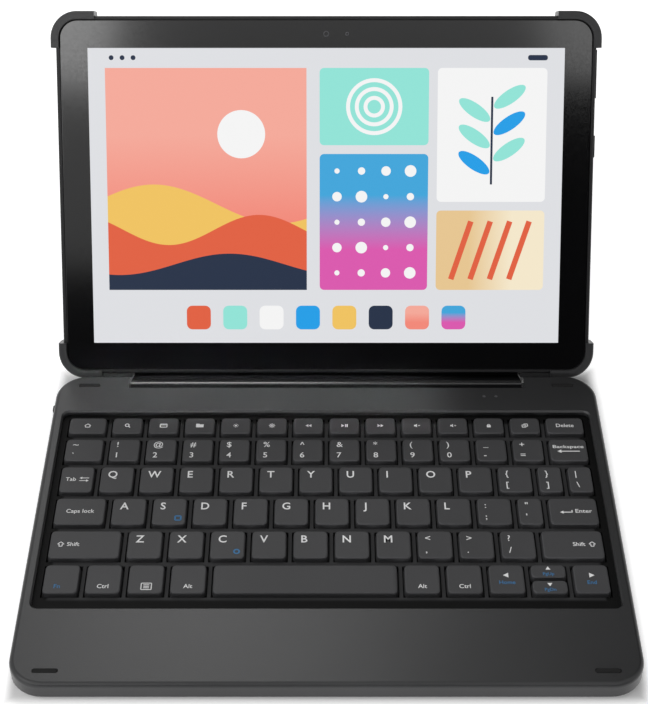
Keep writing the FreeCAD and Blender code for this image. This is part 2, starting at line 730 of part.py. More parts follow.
def hinge_spine():
    """Barrel in the notch with an arm that reaches up to the lower edge of the back panel."""
    x = barrel_range()
    barrel = rod(BARREL_RADIUS, x, 0, 0)
    foot_back, foot_front = PANEL_BACK, PANEL_FRONT
    profile = [(-BARREL_RADIUS * 0.75, 0.0), (-BARREL_RADIUS * 0.75, -BARREL_RADIUS - 1.4),
               (COVER_FROM_AXIS * 0.55, foot_back + 3.4), (COVER_FROM_AXIS + CLIP_REACH, foot_back),
               (COVER_FROM_AXIS + CLIP_REACH, foot_front), (COVER_FROM_AXIS, foot_front + 2.6),
               (BARREL_RADIUS, -BARREL_RADIUS), (BARREL_RADIUS * 0.75, 0.0)]
    points = [Vector(x[0], u, n) for u, n in profile]
    arm = Part.Face(Part.makePolygon(points + points[:1])).extrude(Vector(x[1] - x[0], 0, 0))
    bores = [rod(BARREL_BORE, ends, 0, 0) for ends in
             ((x[0] - 1, x[0] + BUSH_LENGTH), (x[1] - BUSH_LENGTH, x[1] + 1))]
    return swung(fuse(barrel, arm).cut(bores))


def friction_bushes():
    """Split-spring bushes in the barrel's ends that grip the shafts."""
    x = barrel_range()
    solids = []
    for ends in ((x[0], x[0] + BUSH_LENGTH), (x[1] - BUSH_LENGTH, x[1])):
        solids.append(swung(rod(BUSH_OUTER, ends, 0, 0).cut(rod(SHAFT_RADIUS + SHAFT_CLEARANCE, ends, 0, 0))))
    return group(solids)


# Back cover pieces

def cover_slab(width, height, n, radius):
    return slab(width, height, n, radius, (0, COVER_MIDDLE))


def ledge_end():
    """Where the lower walls stop, beside the barrel's ends."""
    return barrel_range()[1] + SEAT_GAP


def corner_clips():
    """Corner walls with lips, the lower two running on as ledges: a rounded frame, cut away between."""
    frame = cover_slab(COVER_WIDTH, COVER_HEIGHT, (PANEL_BACK, LIP_FRONT), TABLET_CORNER + CLIP_REACH)
    frame = bevel_rim(bevel_rim(frame, LIP_FRONT, CLIP_LIP_BEVEL), PANEL_BACK, CLIP_BACK_BEVEL)
    pocket = cover_slab(TABLET_WIDTH + 2 * CLIP_FIT, TABLET_HEIGHT + 2 * CLIP_FIT,
                        (PANEL_BACK - 1, GLASS_FRONT + CLIP_FIT), TABLET_CORNER + CLIP_FIT)
    mouth = cover_slab(TABLET_WIDTH - 2 * CLIP_LIP, TABLET_HEIGHT - 2 * CLIP_LIP,
                       (PANEL_BACK - 1, LIP_FRONT + 1), TABLET_CORNER - CLIP_LIP)
    n = (PANEL_BACK - 1, LIP_FRONT + 1)
    across = COVER_WIDTH / 2 - CLIP_ALONG_TOP
    along = COVER_HEIGHT / 2 - CLIP_ALONG_SIDE
    upper = block((-across, across), (COVER_MIDDLE, COVER_MIDDLE + COVER_HEIGHT), n)
    above_ledge = (GLASS_FRONT - LEDGE_BEHIND_GLASS, LIP_FRONT + 1)
    below = (COVER_MIDDLE - COVER_HEIGHT, COVER_MIDDLE)
    lower = [block((-across, across), below, above_ledge), block((-ledge_end(), ledge_end()), below, n)]
    sides = block((-COVER_WIDTH, COVER_WIDTH), (COVER_MIDDLE - along, COVER_MIDDLE + along), n)
    return frame.cut([pocket, mouth, upper, sides] + lower)


def back_cover():
    """Back panel with the four corner clips in one moulding and a hole for the rear camera."""
    panel = cover_slab(TABLET_WIDTH, TABLET_HEIGHT, (PANEL_BACK, PANEL_FRONT), TABLET_CORNER)
    panel = bevel_rim(panel, PANEL_BACK, PANEL_EDGE_BEVEL)
    corner_fill = cover_slab(TABLET_WIDTH + 2 * CLIP_REACH, TABLET_HEIGHT + 2 * CLIP_REACH,
                             (PANEL_BACK, PANEL_FRONT), TABLET_CORNER + CLIP_REACH)
    clips = corner_clips()
    webs = corner_fill.common(clips_zone()).cut(panel)
    webs = webs.common(bevel_rim(corner_fill, PANEL_BACK, CLIP_BACK_BEVEL))
    x, y = rear_eye_place()
    hole = disc(REAR_EYE_RADIUS + EYE_HOLE_MARGIN, x, y, (PANEL_BACK - 1, PANEL_FRONT + 1))
    seat = swung_back_profile()
    return swung(fuse(panel, webs, *clips.Solids).cut([hole, seat]))


def clips_zone():
    """The four corner blocks that the clips and ledges stand in."""
    across = {-1: ledge_end(), 1: COVER_WIDTH / 2 - CLIP_ALONG_TOP}
    along = COVER_HEIGHT / 2 - CLIP_ALONG_SIDE
    corners = []
    for sx in (-1, 1):
        for sy in (-1, 1):
            x = sorted((sx * across[sy], sx * COVER_WIDTH))
            y = sorted((COVER_MIDDLE + sy * along, COVER_MIDDLE + sy * COVER_HEIGHT))
            corners.append(block(x, y, (PANEL_BACK - 1, LIP_FRONT + 1)))
    return group(corners)


def swung_back_profile():
    """Room in the panel's lower edge for the foot of the hinge arm."""
    across = inset(barrel_range(), -SEAT_GAP)
    return block(across, (0, COVER_FROM_AXIS + CLIP_REACH), (PANEL_BACK - 1, PANEL_FRONT + 1))


# Tablet pieces

def rear_eye_place():
    return (TABLET_WIDTH / 2 - REAR_EYE_FROM_SIDE, COVER_MIDDLE + TABLET_HEIGHT / 2 - REAR_EYE_FROM_TOP)


def front_eye_places():
    """Camera and light sensor, in the middle of the upper border."""
    y = COVER_MIDDLE + SCREEN_HEIGHT / 2 + BEZEL / 2
    return [(0.0, y, EYE_RADIUS), (SENSOR_OFFSET, y, SENSOR_RADIUS)]


GLASS_BACK = GLASS_FRONT - GLASS_THICKNESS


def side_button(length, from_top, grow=0.0, room=0.0):
    """A side key, or with room to sink and clearance its slot, in the tablet's right-hand edge."""
    y = COVER_MIDDLE + TABLET_HEIGHT / 2 - from_top
    middle = (GLASS_FRONT + TABLET_BACK) / 2
    outer = TABLET_WIDTH / 2 + SIDE_BUTTON_PROUD
    half = SIDE_BUTTON_HEIGHT / 2
    return block((outer - SIDE_BUTTON_DEPTH - room, outer), inset((y - length / 2, y + length / 2), -grow),
                 inset((middle - half, middle + half), -grow))


def glass_slab(grow, front):
    corner = TABLET_CORNER - TABLET_EDGE + grow
    return cover_slab(GLASS_WIDTH + 2 * grow, GLASS_HEIGHT + 2 * grow, (GLASS_BACK, front), corner)


def tablet_housing():
    """Solid tray with seats for the glass, display, cameras, sensor and side keys."""
    body = cover_slab(TABLET_WIDTH, TABLET_HEIGHT, (TABLET_BACK, GLASS_FRONT), TABLET_CORNER)
    body = bevel_rim(body, TABLET_BACK, TABLET_BACK_BEVEL)
    body = bevel_rim(body, GLASS_FRONT, TABLET_FRONT_BEVEL)
    cuts = [glass_slab(GLASS_SEAT, GLASS_FRONT + 1), display_slab(GLASS_SEAT)]
    depth = (GLASS_BACK - EYE_DEPTH, GLASS_FRONT)
    cuts += [column(r + GLASS_SEAT, x, y, depth) for x, y, r in front_eye_places()]
    x, y = rear_eye_place()
    cuts.append(disc(REAR_EYE_RADIUS + GLASS_SEAT, x, y, (TABLET_BACK - 1, TABLET_BACK + REAR_EYE_DEPTH)))
    room = SIDE_BUTTON_TRAVEL + SIDE_BUTTON_CLEARANCE
    cuts.append(side_button(ROCKER_LENGTH, ROCKER_FROM_TOP, SIDE_BUTTON_CLEARANCE, room))
    cuts.append(side_button(POWER_LENGTH, POWER_FROM_TOP, SIDE_BUTTON_CLEARANCE, room))
    return swung(body.cut(cuts))


def display_slab(grow):
    width = SCREEN_WIDTH + 2 * DISPLAY_MARGIN + 2 * grow
    height = SCREEN_HEIGHT + 2 * DISPLAY_MARGIN + 2 * grow
    return cover_slab(width, height, (GLASS_BACK - DISPLAY_THICKNESS, GLASS_BACK), DISPLAY_CORNER)


def tablet_glass():
    return swung(glass_slab(0.0, GLASS_FRONT))


def tablet_display():
    return swung(display_slab(0.0))


def front_eye(index):
    x, y, radius = front_eye_places()[index]
    return swung(column(radius, x, y, (GLASS_BACK - EYE_DEPTH, GLASS_BACK)))


def rear_camera():
    x, y = rear_eye_place()
    return swung(disc(REAR_EYE_RADIUS, x, y, (TABLET_BACK, TABLET_BACK + REAR_EYE_DEPTH)))


# Everything, by node name

def all_parts():
    places = key_places()
    caps = {name: keycap(x, y) for name, (x, y) in places.items()}
    parts = {
        "base_top_cover": base_top_cover(),
        "base_bottom_cover": base_bottom_cover(),
        "rubber_feet": rubber_feet(),
        "deck_pads": deck_pads(),
        "cover_screws": cover_screws(),
        "key_web": key_web(places),
        "support_plate": support_plate(),
        "membrane_sheet": membrane_sheet(),
        "dome_sheet": dome_sheet(places),
        "controller_board": controller_board(),
        "light_pipes": light_pipes(),
        "charge_socket": charge_socket(),
        "power_switch_knob": power_switch(),
        "power_switch_body": switch_body(),
        "battery_pack": battery_pack(),
        "balance_weights": balance_weights(),
        "hinge_shafts": hinge_shafts(),
        "hinge_blocks": hinge_blocks(),
        "hinge_spine": hinge_spine(),
        "friction_bushes": friction_bushes(),
        "back_cover": back_cover(),
        "tablet_housing": tablet_housing(),
        "tablet_glass": tablet_glass(),
        "tablet_display": tablet_display(),
        "tablet_front_camera": front_eye(0),
        "tablet_light_sensor": front_eye(1),
        "tablet_rear_camera": rear_camera(),
        "tablet_volume_rocker": swung(side_button(ROCKER_LENGTH, ROCKER_FROM_TOP)),
        "tablet_power_button": swung(side_button(POWER_LENGTH, POWER_FROM_TOP)),
    }
    for node, members in KEY_GROUPS.items():
        parts[node] = group(caps.pop(name) for name in members)
    for name, cap in caps.items():
        parts[f"key_{name}"] = cap
    return parts


def main():
    os.makedirs("parts", exist_ok=True)
    for node, shape in all_parts().items():
        shape.exportStep(f"parts/{node}.step")
        valid = all(s.isValid() for s in shape.Solids)
        print(f"{node}: {len(shape.Solids)} solids, {shape.Volume:.1f} mm3, valid {valid}")
    print(f"hinge axis y {HINGE_Y:.4f} z {HINGE_Z:.4f}")


main()
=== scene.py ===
"""Looks for a tablet keyboard case: keycaps with legends, a lit screen, moulded plastic and a stage."""
import json
import math

import bpy
import numpy as np
from mathutils import Matrix, Vector


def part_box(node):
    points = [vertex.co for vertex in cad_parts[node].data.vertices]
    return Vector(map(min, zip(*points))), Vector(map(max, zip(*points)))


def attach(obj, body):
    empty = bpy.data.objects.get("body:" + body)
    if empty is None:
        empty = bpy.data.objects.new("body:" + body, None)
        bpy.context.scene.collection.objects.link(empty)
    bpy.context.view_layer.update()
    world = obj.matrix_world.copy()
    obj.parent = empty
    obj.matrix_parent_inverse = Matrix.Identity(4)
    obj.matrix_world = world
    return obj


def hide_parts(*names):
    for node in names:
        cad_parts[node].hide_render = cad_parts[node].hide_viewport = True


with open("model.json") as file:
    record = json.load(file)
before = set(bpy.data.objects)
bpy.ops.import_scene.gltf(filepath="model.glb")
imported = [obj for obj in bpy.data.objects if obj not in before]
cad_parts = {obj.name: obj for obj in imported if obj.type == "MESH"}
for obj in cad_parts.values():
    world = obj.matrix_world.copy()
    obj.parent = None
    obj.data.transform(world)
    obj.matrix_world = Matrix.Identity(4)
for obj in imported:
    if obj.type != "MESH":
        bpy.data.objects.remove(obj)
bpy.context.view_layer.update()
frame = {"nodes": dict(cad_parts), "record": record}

bl_info = {
    "name": "Tablet keyboard case",
    "version": (1, 1, 0),
    "blender": (4, 5, 0),
    "location": "View3D > Sidebar > Case",
    "description": "Dresses a tablet keyboard case",
    "category": "Object",
}

MM = 0.001
SINGLE_KEYS = ["delete", "backspace", "tab", "caps_lock", "enter", "left_shift", "right_shift", "fn",
               "left_ctrl", "menu", "left_alt", "space", "right_alt", "right_ctrl",
               "arrow_left", "arrow_up", "arrow_down", "arrow_right"]
KEY_GROUPS = {
    "function_keys": ["home"] + [f"function_{i}" for i in range(1, 13)],
    "number_keys": ["grave"] + [f"digit_{i}" for i in range(1, 11)] + ["minus", "equals"],
    "upper_letter_keys": [f"letter_{c}" for c in "qwertyuiop"]
    + ["left_bracket", "right_bracket", "backslash"],
    "home_letter_keys": [f"letter_{c}" for c in "asdfghjkl"] + ["semicolon", "quote"],
    "lower_letter_keys": [f"letter_{c}" for c in "zxcvbnm"] + ["comma", "full_stop", "slash"],
}

# Spread of a moulded surface's tint and roughness about their middle, and the depth of its grain
TINT_SPREAD = 0.1
ROUGHNESS_SPREAD = 0.06
GRAIN_DEPTH = 0.2 * MM

# Keycap rings: share of height and taper at the skirt's top, and the rings of the dished top
SKIRT_SHARE = 0.6
CORNER_SHRINK = 0.4
DISH_RINGS = (0.96, 0.75, 0.45, 0.15)
CURVE_STEPS = 5

# Legends, in millimetres from a key's left edge or its middle
LETTER_MARGIN = 3.6
SIGN_MARGIN = 3.5
LETTER_ROW = 2.8
SIGN_ROW = 3.3
FOOT_ROW = -4.0
SECOND_PLACE = (3.9, -4.0)
LETTER_STRETCH = 0.94
FINE_LINE = 0.4
LINE = 0.5
BOLD_LINE = 0.7
SIZE_OF_CAPITAL = 1.37


# Settings

def length(name, description, millimetres):
    """A length setting, given in millimetres and held in metres."""
    return bpy.props.FloatProperty(name=name, description=description, default=millimetres * MM,
                                   unit="LENGTH", precision=5)


def tint(name, description, default):
    """A colour setting."""
    return bpy.props.FloatVectorProperty(name=name, description=description, default=default, size=3,
                                         subtype="COLOR", min=0.0, max=1.0)


def number(name, description, default):
    """A setting without a unit."""
    return bpy.props.FloatProperty(name=name, description=description, default=default)


def angle(name, description, degrees):
    """An angle setting, given in degrees and held in radians."""
    return bpy.props.FloatProperty(name=name, description=description, default=math.radians(degrees),
                                   subtype="ANGLE")


class CaseKeys(bpy.types.PropertyGroup):
    """Shape and print of the keys."""
    gap: length("Key gap", "Space between two keys of a row", 2.3)
    row_pitches: number("Row length", "Letter pitches in a full row", 13.52)
    edge_pitches: number("Edge key", "Width of an end key in letter pitches", 1.13)
    narrow_pitches: number("Narrow key", "Width of a narrow key in letter pitches", 0.76)
    corner: length("Corner", "Radius of a keycap's corners seen from above", 2.0)
    taper: length("Taper", "How far the sides lean in", 0.42)
    edge_round: length("Edge", "Radius round the top of a keycap", 0.45)
    dish: length("Dish", "Depth of the hollow in a keycap's top", 0.06)
    print_lift: length("Print height", "Legends above the keycap's top", 0.02)
    letter_height: length("Letter height", "Height of a capital letter", 4.1)
    sign_height: length("Sign height", "Height of digits and signs", 3.3)
    word_height: length("Word height", "Height of capitals in words", 2.2)
    stroke: length("Stroke", "Added to each side of a letter's strokes", 0.09)
    cap_colour: tint("Keycap", "Colour of the keycaps", (0.036, 0.036, 0.038))
    print_colour: tint("Print", "Colour of the main legends", (0.8, 0.8, 0.8))
    second_colour: tint("Second print", "Colour of the second legends", (0.04, 0.17, 0.36))


class CaseScreen(bpy.types.PropertyGroup):
    """Lit area and glass of the tablet."""
    width: length("Lit width", "Width of the lit area", 217.4)
    height: length("Lit height", "Height of the lit area", 135.9)
    border: length("Border", "Width of the dark border round the lit area", 12.6)
    glass: length("Glass", "Thickness of the glass", 0.8)
    corner: length("Glass corner", "Radius of the glass's corners", 8.3)
    edge: length("Glass edge", "Radius round the front edge of the glass", 0.4)
    depth: length("Picture depth", "Picture below the glass's front", 0.3)
    layer: length("Layer", "Step between two layers of the picture", 0.012)
    open_angle: angle("Open angle", "Angle from closed to the pose at rest", 122.0)
    glow: number("Glow", "Strength of the lit picture", 0.92)
    border_colour: tint("Border colour", "Colour of the border", (0.002, 0.002, 0.0022))
    eye_colour: tint("Eye rings", "Colour of the rings on the border", (0.03, 0.03, 0.034))


class CaseFinish(bpy.types.PropertyGroup):
    """Colours of the moulded parts."""
    case_colour: tint("Case", "Colour of the case's plastic", (0.02, 0.0202, 0.021))
    barrel_colour: tint("Barrel", "Colour of the hinge's barrel", (0.008, 0.008, 0.0085))
    # Painted highlight and shade: reflections on the barrel only in a strip set by these three, dead black
    # elsewhere
    highlight_height: length("Gloss height", "Middle of the barrel's glossy strip above its axis", 2.4)
    highlight_width: length("Gloss width", "Width of the barrel's glossy strip", 1.9)
    highlight_lean: angle("Gloss lean", "Lean to the rear of the direction in which the strip lies", 41.4)
    shaft_colour: tint("Shafts", "Colour of the hinge's shafts", (0.012, 0.012, 0.013))
    web_colour: tint("Key web", "Colour of the plate between the keys", (0.034, 0.034, 0.0352))
    # Painted shade: black along the key web's rim, where the well's edge shades it
    rim_shade_colour: tint("Key web rim", "Colour of the web's outer rim", (0.001, 0.001, 0.001))
    web_shade_width: length("Rim width", "Width of the web's dark rim", 8.0)
    rubber_colour: tint("Rubber", "Colour of pads and feet", (0.008, 0.008, 0.008))
    tablet_colour: tint("Tablet", "Colour of the tablet's housing", (0.006, 0.006, 0.0065))
    # Painted shade: the screws' cross recesses are drawn as flat dark crosses
    recess_shade_colour: tint("Recess", "Colour of the screws' recesses", (0.004, 0.004, 0.004))


class CaseStage(bpy.types.PropertyGroup):
    """Camera and light."""
    lens: number("Lens", "Focal length in millimetres", 84.0)
    pitch: angle("Pitch", "Downward tilt of the camera", 41.43)
    place: bpy.props.FloatVectorProperty(name="Camera", description="Place of the camera", size=3,
                                         default=(-0.001, -0.53053, 0.52695), subtype="TRANSLATION")
    surround: number("Surround", "Strength of the surround's soft light", 0.22)
    floor_glow: number("Floor", "Added to the floor where it is seen", 0.68)
    shade_edge: length("Shade edge", "How far the shade under the case reaches out", 5.5)


# Meshes

def make_mesh(name, points, faces, smooth=False):
    """A mesh object at the origin from an array of points and faces of any size."""
    mesh = bpy.data.meshes.new(name)
    mesh.from_pydata(np.asarray(points, float).tolist(), [], [list(map(int, face)) for face in faces])
    mesh.polygons.foreach_set("use_smooth", [smooth] * len(mesh.polygons))
    mesh.update()
    piece = bpy.data.objects.new(name, mesh)
    bpy.context.scene.collection.objects.link(piece)
    return piece


def dress(piece, body, material, replaced=()):
    """Gives a piece its material, body and slot, and hides the nodes that it stands for."""
    piece.data.materials.append(material)
    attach(piece, body)
    if replaced:
        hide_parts(*replaced)


def joined(parts):
    """One point array and face list from several."""
    points, faces, start = [], [], 0
    for some_points, some_faces in parts:
        points.append(np.asarray(some_points, float))
        faces.extend([[i + start for i in face] for face in some_faces])
        start += len(some_points)
    return np.concatenate(points), faces


def lifted(points, height):
    """Flat points given a height."""
    return np.column_stack([points, np.full(len(points), height)])


def rounded_path(half_x, half_y, radius, steps):
    """Points round a rectangle with round corners, anticlockwise: a quarter circle about each corner."""
    turn = np.linspace(0.0, math.pi / 2, steps)
    corners = []
    for i, (side_x, side_y) in enumerate(((1, 1), (-1, 1), (-1, -1), (1, -1))):
        way = turn + i * math.pi / 2
        corners.append(np.stack([side_x * (half_x - radius) + radius * np.cos(way),
                                 side_y * (half_y - radius) + radius * np.sin(way)], axis=1))
    return np.concatenate(corners)


def ring_faces(rings, count):
    """Quads between closed rings of as many points, in order."""
    i = np.arange(rings - 1)[:, None] * count
    j = np.arange(count)[None, :]
    k = (j + 1) % count
    return np.stack([i + j, i + k, i + k + count, i + j + count], axis=-1).reshape(-1, 4)


# Materials

def reckon(tree, operation, first, second=None, clamp=False):
    """A value worked out from one or two others, each a socket or a number."""
    node = tree.nodes.new("ShaderNodeMath")
    node.operation = operation
    node.use_clamp = clamp
    for socket, given in zip(node.inputs, (first, second)):
        if isinstance(given, bpy.types.NodeSocket):
            tree.links.new(given, socket)
        elif given is not None:
            socket.default_value = given
    return node.outputs["Value"]


def ranged(tree, value, span=(0.0, 1.0), levels=(0.0, 1.0), smooth=True):
    """Goes from the first level to the second while a value crosses a span."""
    node = tree.nodes.new("ShaderNodeMapRange")
    node.interpolation_type = "SMOOTHSTEP" if smooth else "LINEAR"
    for name, given in zip(("From Min", "From Max", "To Min", "To Max"), (*span, *levels)):
        node.inputs[name].default_value = given
    tree.links.new(value, node.inputs["Value"])
    return node.outputs["Result"]


def past_box(tree, low, high):
    """How far a point lies outside an upright box: the greater of |x| - half and |y| - half, less inside."""
    place = tree.nodes.new("ShaderNodeTexCoord")
    split = tree.nodes.new("ShaderNodeSeparateXYZ")
    tree.links.new(place.outputs["Object"], split.inputs["Vector"])
    past = []
    for axis in (0, 1):
        offset = reckon(tree, "SUBTRACT", split.outputs[axis], (low[axis] + high[axis]) / 2)
        away = reckon(tree, "ABSOLUTE", offset)
        past.append(reckon(tree, "SUBTRACT", away, (high[axis] - low[axis]) / 2))
    return reckon(tree, "MAXIMUM", *past)


def grain_group():
    """Shared moulded grain: a fine height for bump and a slow tint."""
    group = bpy.data.node_groups.get("moulded_grain")
    if group:
        return group
    group = bpy.data.node_groups.new("moulded_grain", "ShaderNodeTree")
    for name, way in (("Scale", "INPUT"), ("Height", "OUTPUT"), ("Tint", "OUTPUT")):
        group.interface.new_socket(name, in_out=way, socket_type="NodeSocketFloat")
    nodes, links = group.nodes, group.links
    source = nodes.new("NodeGroupInput")
    result = nodes.new("NodeGroupOutput")
    place = nodes.new("ShaderNodeTexCoord")
    fine = nodes.new("ShaderNodeTexNoise")
    fine.inputs["Detail"].default_value = 3.0
    fine.inputs["Roughness"].default_value = 0.6
    slow = nodes.new("ShaderNodeTexNoise")
    slow.inputs["Scale"].default_value = 14.0
    slow.inputs["Detail"].default_value = 2.0
    links.new(place.outputs["Object"], fine.inputs["Vector"])
    links.new(place.outputs["Object"], slow.inputs["Vector"])
    links.new(source.outputs["Scale"], fine.inputs["Scale"])
    links.new(fine.outputs["Fac"], result.inputs["Height"])
    links.new(slow.outputs["Fac"], result.inputs["Tint"])
    return group


def tone_ramp(nodes, low, high):
    """A two-stop ramp from one colour to another."""
    ramp = nodes.new("ShaderNodeValToRGB")
    for stop, place, colour in zip(ramp.color_ramp.elements, (0.3, 0.7), (low, high)):
        stop.position = place
        stop.color = (*colour, 1.0)
    return ramp


def plain_material(name, colour, roughness, specular=0.5, metallic=0.0):
    """A principled surface with its constants set on the shader."""
    material = bpy.data.materials.new(name)
    material.use_nodes = True
    shader = material.node_tree.nodes["Principled BSDF"]
    shader.inputs["Base Color"].default_value = (*colour, 1.0)
    shader.inputs["Roughness"].default_value = roughness
    shader.inputs["Metallic"].default_value = metallic
    shader.inputs["Specular IOR Level"].default_value = specular
    return material


def moulded(name, colour, roughness, scale, bump, specular=0.5, metallic=0.0):
    """A moulded or ground surface: slow tint, varied roughness, and grain of a scale and bump."""
    material = plain_material(name, colour, roughness, specular, metallic)
    tree = material.node_tree
    nodes, links = tree.nodes, tree.links
    shader = nodes["Principled BSDF"]
    grain = nodes.new("ShaderNodeGroup")
    grain.node_tree = grain_group()
    grain.inputs["Scale"].default_value = scale
    ramp = tone_ramp(nodes, [c * (1 - TINT_SPREAD) for c in colour], [c * (1 + TINT_SPREAD) for c in colour])
    links.new(grain.outputs["Tint"], ramp.inputs["Fac"])
    links.new(ramp.outputs["Color"], shader.inputs["Base Color"])
    levels = (max(0.0, roughness - ROUGHNESS_SPREAD), min(1.0, roughness + ROUGHNESS_SPREAD))
    rough = ranged(tree, grain.outputs["Height"], levels=levels, smooth=False)
    links.new(rough, shader.inputs["Roughness"])
    relief = nodes.new("ShaderNodeBump")
    relief.inputs["Strength"].default_value = bump
    relief.inputs["Distance"].default_value = GRAIN_DEPTH
    links.new(grain.outputs["Height"], relief.inputs["Height"])
    links.new(relief.outputs["Normal"], shader.inputs["Normal"])
    return material


def web_material(finish):
    """The key web: like the keys between them, with a painted shade, black, along its rim."""
    material = moulded("web_plastic", finish.web_colour, 0.55, 2200.0, 0.2, specular=0.08)
    tree = material.node_tree
    shader = tree.nodes["Principled BSDF"]
    past = past_box(tree, *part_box("key_web"))
    fade = ranged(tree, past, (-finish.web_shade_width, -finish.web_shade_width * 0.8))
    # Painted shade: the base colour turns black within the rim width of the web's outer edge
    rim = tree.nodes.new("ShaderNodeMix")
    rim.data_type = "RGBA"
    tree.links.new(fade, rim.inputs["Factor"])
    tree.links.new(shader.inputs["Base Color"].links[0].from_socket, rim.inputs["A"])
    rim.inputs["B"].default_value = (*finish.rim_shade_colour, 1.0)
    tree.links.new(rim.outputs["Result"], shader.inputs["Base Color"])
    return material


def barrel_material(finish):
    """The hinge's spine: dead black but for a glossy strip along the barrel, a painted highlight.

    The strip lies where the distance from the barrel's axis, along a direction that leans to the
    rear, is within half a width of the strip's height. Outside it reflections are turned off, a painted
    shade of the gap between the barrel and the deck."""
    material = moulded("barrel_painted_highlight", finish.barrel_colour, 0.2, 2200.0, 0.0)
    tree = material.node_tree
    low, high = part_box("hinge_shafts")
    up = Vector((0.0, math.sin(finish.highlight_lean), math.cos(finish.highlight_lean)))
    place = tree.nodes.new("ShaderNodeTexCoord")
    height = tree.nodes.new("ShaderNodeVectorMath")
    height.operation = "DOT_PRODUCT"
    height.inputs[1].default_value = up
    tree.links.new(place.outputs["Object"], height.inputs[0])
    middle = up.dot((low + high) / 2) + finish.highlight_height
    away = reckon(tree, "ABSOLUTE", reckon(tree, "SUBTRACT", height.outputs["Value"], middle))
    # Painted highlight: full reflection inside the strip, none outside it, a painted shade
    gloss = ranged(tree, away, (finish.highlight_width * 0.4, finish.highlight_width * 0.6), (1.0, 0.0))
    tree.links.new(gloss, tree.nodes["Principled BSDF"].inputs["Specular IOR Level"])
    return material


def lit(name, colour, glow):
    """A glowing patch of the screen picture."""
    material = plain_material(name, (0.01, 0.01, 0.01), 0.35, 0.1)
    shader = material.node_tree.nodes["Principled BSDF"]
    shader.inputs["Emission Color"].default_value = (*colour, 1.0)
    shader.inputs["Emission Strength"].default_value = glow
    return material


def lit_blend(name, low, high, glow, direction):
    """A glowing patch that shades from one colour to another along a direction of its own UV map."""
    material = lit(name, low, glow)
    nodes, links = material.node_tree.nodes, material.node_tree.links
    place = nodes.new("ShaderNodeUVMap")
    split = nodes.new("ShaderNodeSeparateXYZ")
    ramp = tone_ramp(nodes, low, high)
    links.new(place.outputs["UV"], split.inputs["Vector"])
    links.new(split.outputs[direction], ramp.inputs["Fac"])
    links.new(ramp.outputs["Color"], nodes["Principled BSDF"].inputs["Emission Color"])
    return material


class CASE_OT_surfaces(bpy.types.Operator):
    """Give the carried-over solids their materials"""
    bl_idname = "case.surfaces"
    bl_label = "Surfaces"

    def execute(self, context):
        finish = context.scene.case_finish
        keys = context.scene.case_keys
        border = context.scene.case_screen.border_colour
        # Each: colour, roughness, scale of the grain, strength of its bump
        made = {
            "case_plastic": moulded("case_plastic", finish.case_colour, 0.34, 2200.0, 0.16, specular=0.32),
            "web_plastic": web_material(finish),
            "key_plastic": moulded("key_plastic_inner", keys.cap_colour, 0.5, 2600.0, 0.16, specular=0.3),
            "soft_rubber": moulded("soft_rubber", finish.rubber_colour, 0.8, 1200.0, 0.3, specular=0.2),
            "film": moulded("contact_film", (0.5, 0.5, 0.45), 0.4, 800.0, 0.05),
            "steel": moulded("plain_steel", (0.55, 0.56, 0.58), 0.35, 1800.0, 0.1, metallic=1.0),
            "circuit_board": moulded("circuit_board", (0.02, 0.16, 0.07), 0.4, 1200.0, 0.1),
            "clear_plastic": moulded("lamp_window", (0.09, 0.09, 0.095), 0.3, 900.0, 0.05),
            "bright_metal": moulded("socket_metal", (0.72, 0.73, 0.75), 0.25, 1800.0, 0.08, metallic=1.0),
            "battery_wrap": moulded("battery_wrap", (0.5, 0.51, 0.53), 0.35, 700.0, 0.2),
            "tablet_plastic": moulded("tablet_plastic", finish.tablet_colour, 0.42, 2400.0, 0.12,
                                      specular=0.3),
            "cover_glass": moulded("cover_glass", border, 0.11, 900.0, 0.0),
            "display": moulded("display_panel", (0.02, 0.02, 0.02), 0.4, 900.0, 0.05),
            "lens": moulded("lens_glass", (0.004, 0.004, 0.006), 0.12, 900.0, 0.0),
        }
        special = {"hinge_spine": barrel_material(finish),
                   "hinge_shafts": moulded("black_steel", finish.shaft_colour, 0.45, 1800.0, 0.1)}
        slots = {part["node"]: part["material_slot"] for part in frame["record"]["subparts"]}
        for node, piece in frame["nodes"].items():
            for holder in piece.material_slots:
                holder.material = special.get(node, made[slots[node]])
        return {"FINISHED"}


# Keys

def key_boxes(sizes):
    """Each key's box from its node, the keys of a row shared out along the row."""
    boxes = {name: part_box(f"key_{name}") for name in SINGLE_KEYS}
    left = min(low[0] for low, _ in boxes.values())
    right = max(high[0] for _, high in boxes.values())
    pitch = (right - left + sizes.gap) / sizes.row_pitches
    letter, edge, narrow = (share * pitch - sizes.gap
                            for share in (1.0, sizes.edge_pitches, sizes.narrow_pitches))
    top_row_keys = len(KEY_GROUPS["number_keys"]) - 1
    small = (right - left - 2 * edge - sizes.gap) / top_row_keys - sizes.gap
    for node, members in KEY_GROUPS.items():
        low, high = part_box(node)
        x = low[0]
        for name in members:
            width = letter
            if node in ("function_keys", "number_keys"):
                width = edge if name in ("home", "grave") else small
            elif name in ("right_bracket", "quote"):
                width = narrow
            elif name == "backslash":
                width = high[0] - x
            boxes[name] = (Vector((x, low[1], low[2])), Vector((x + width, high[1], high[2])))
            x += width + sizes.gap
    return boxes


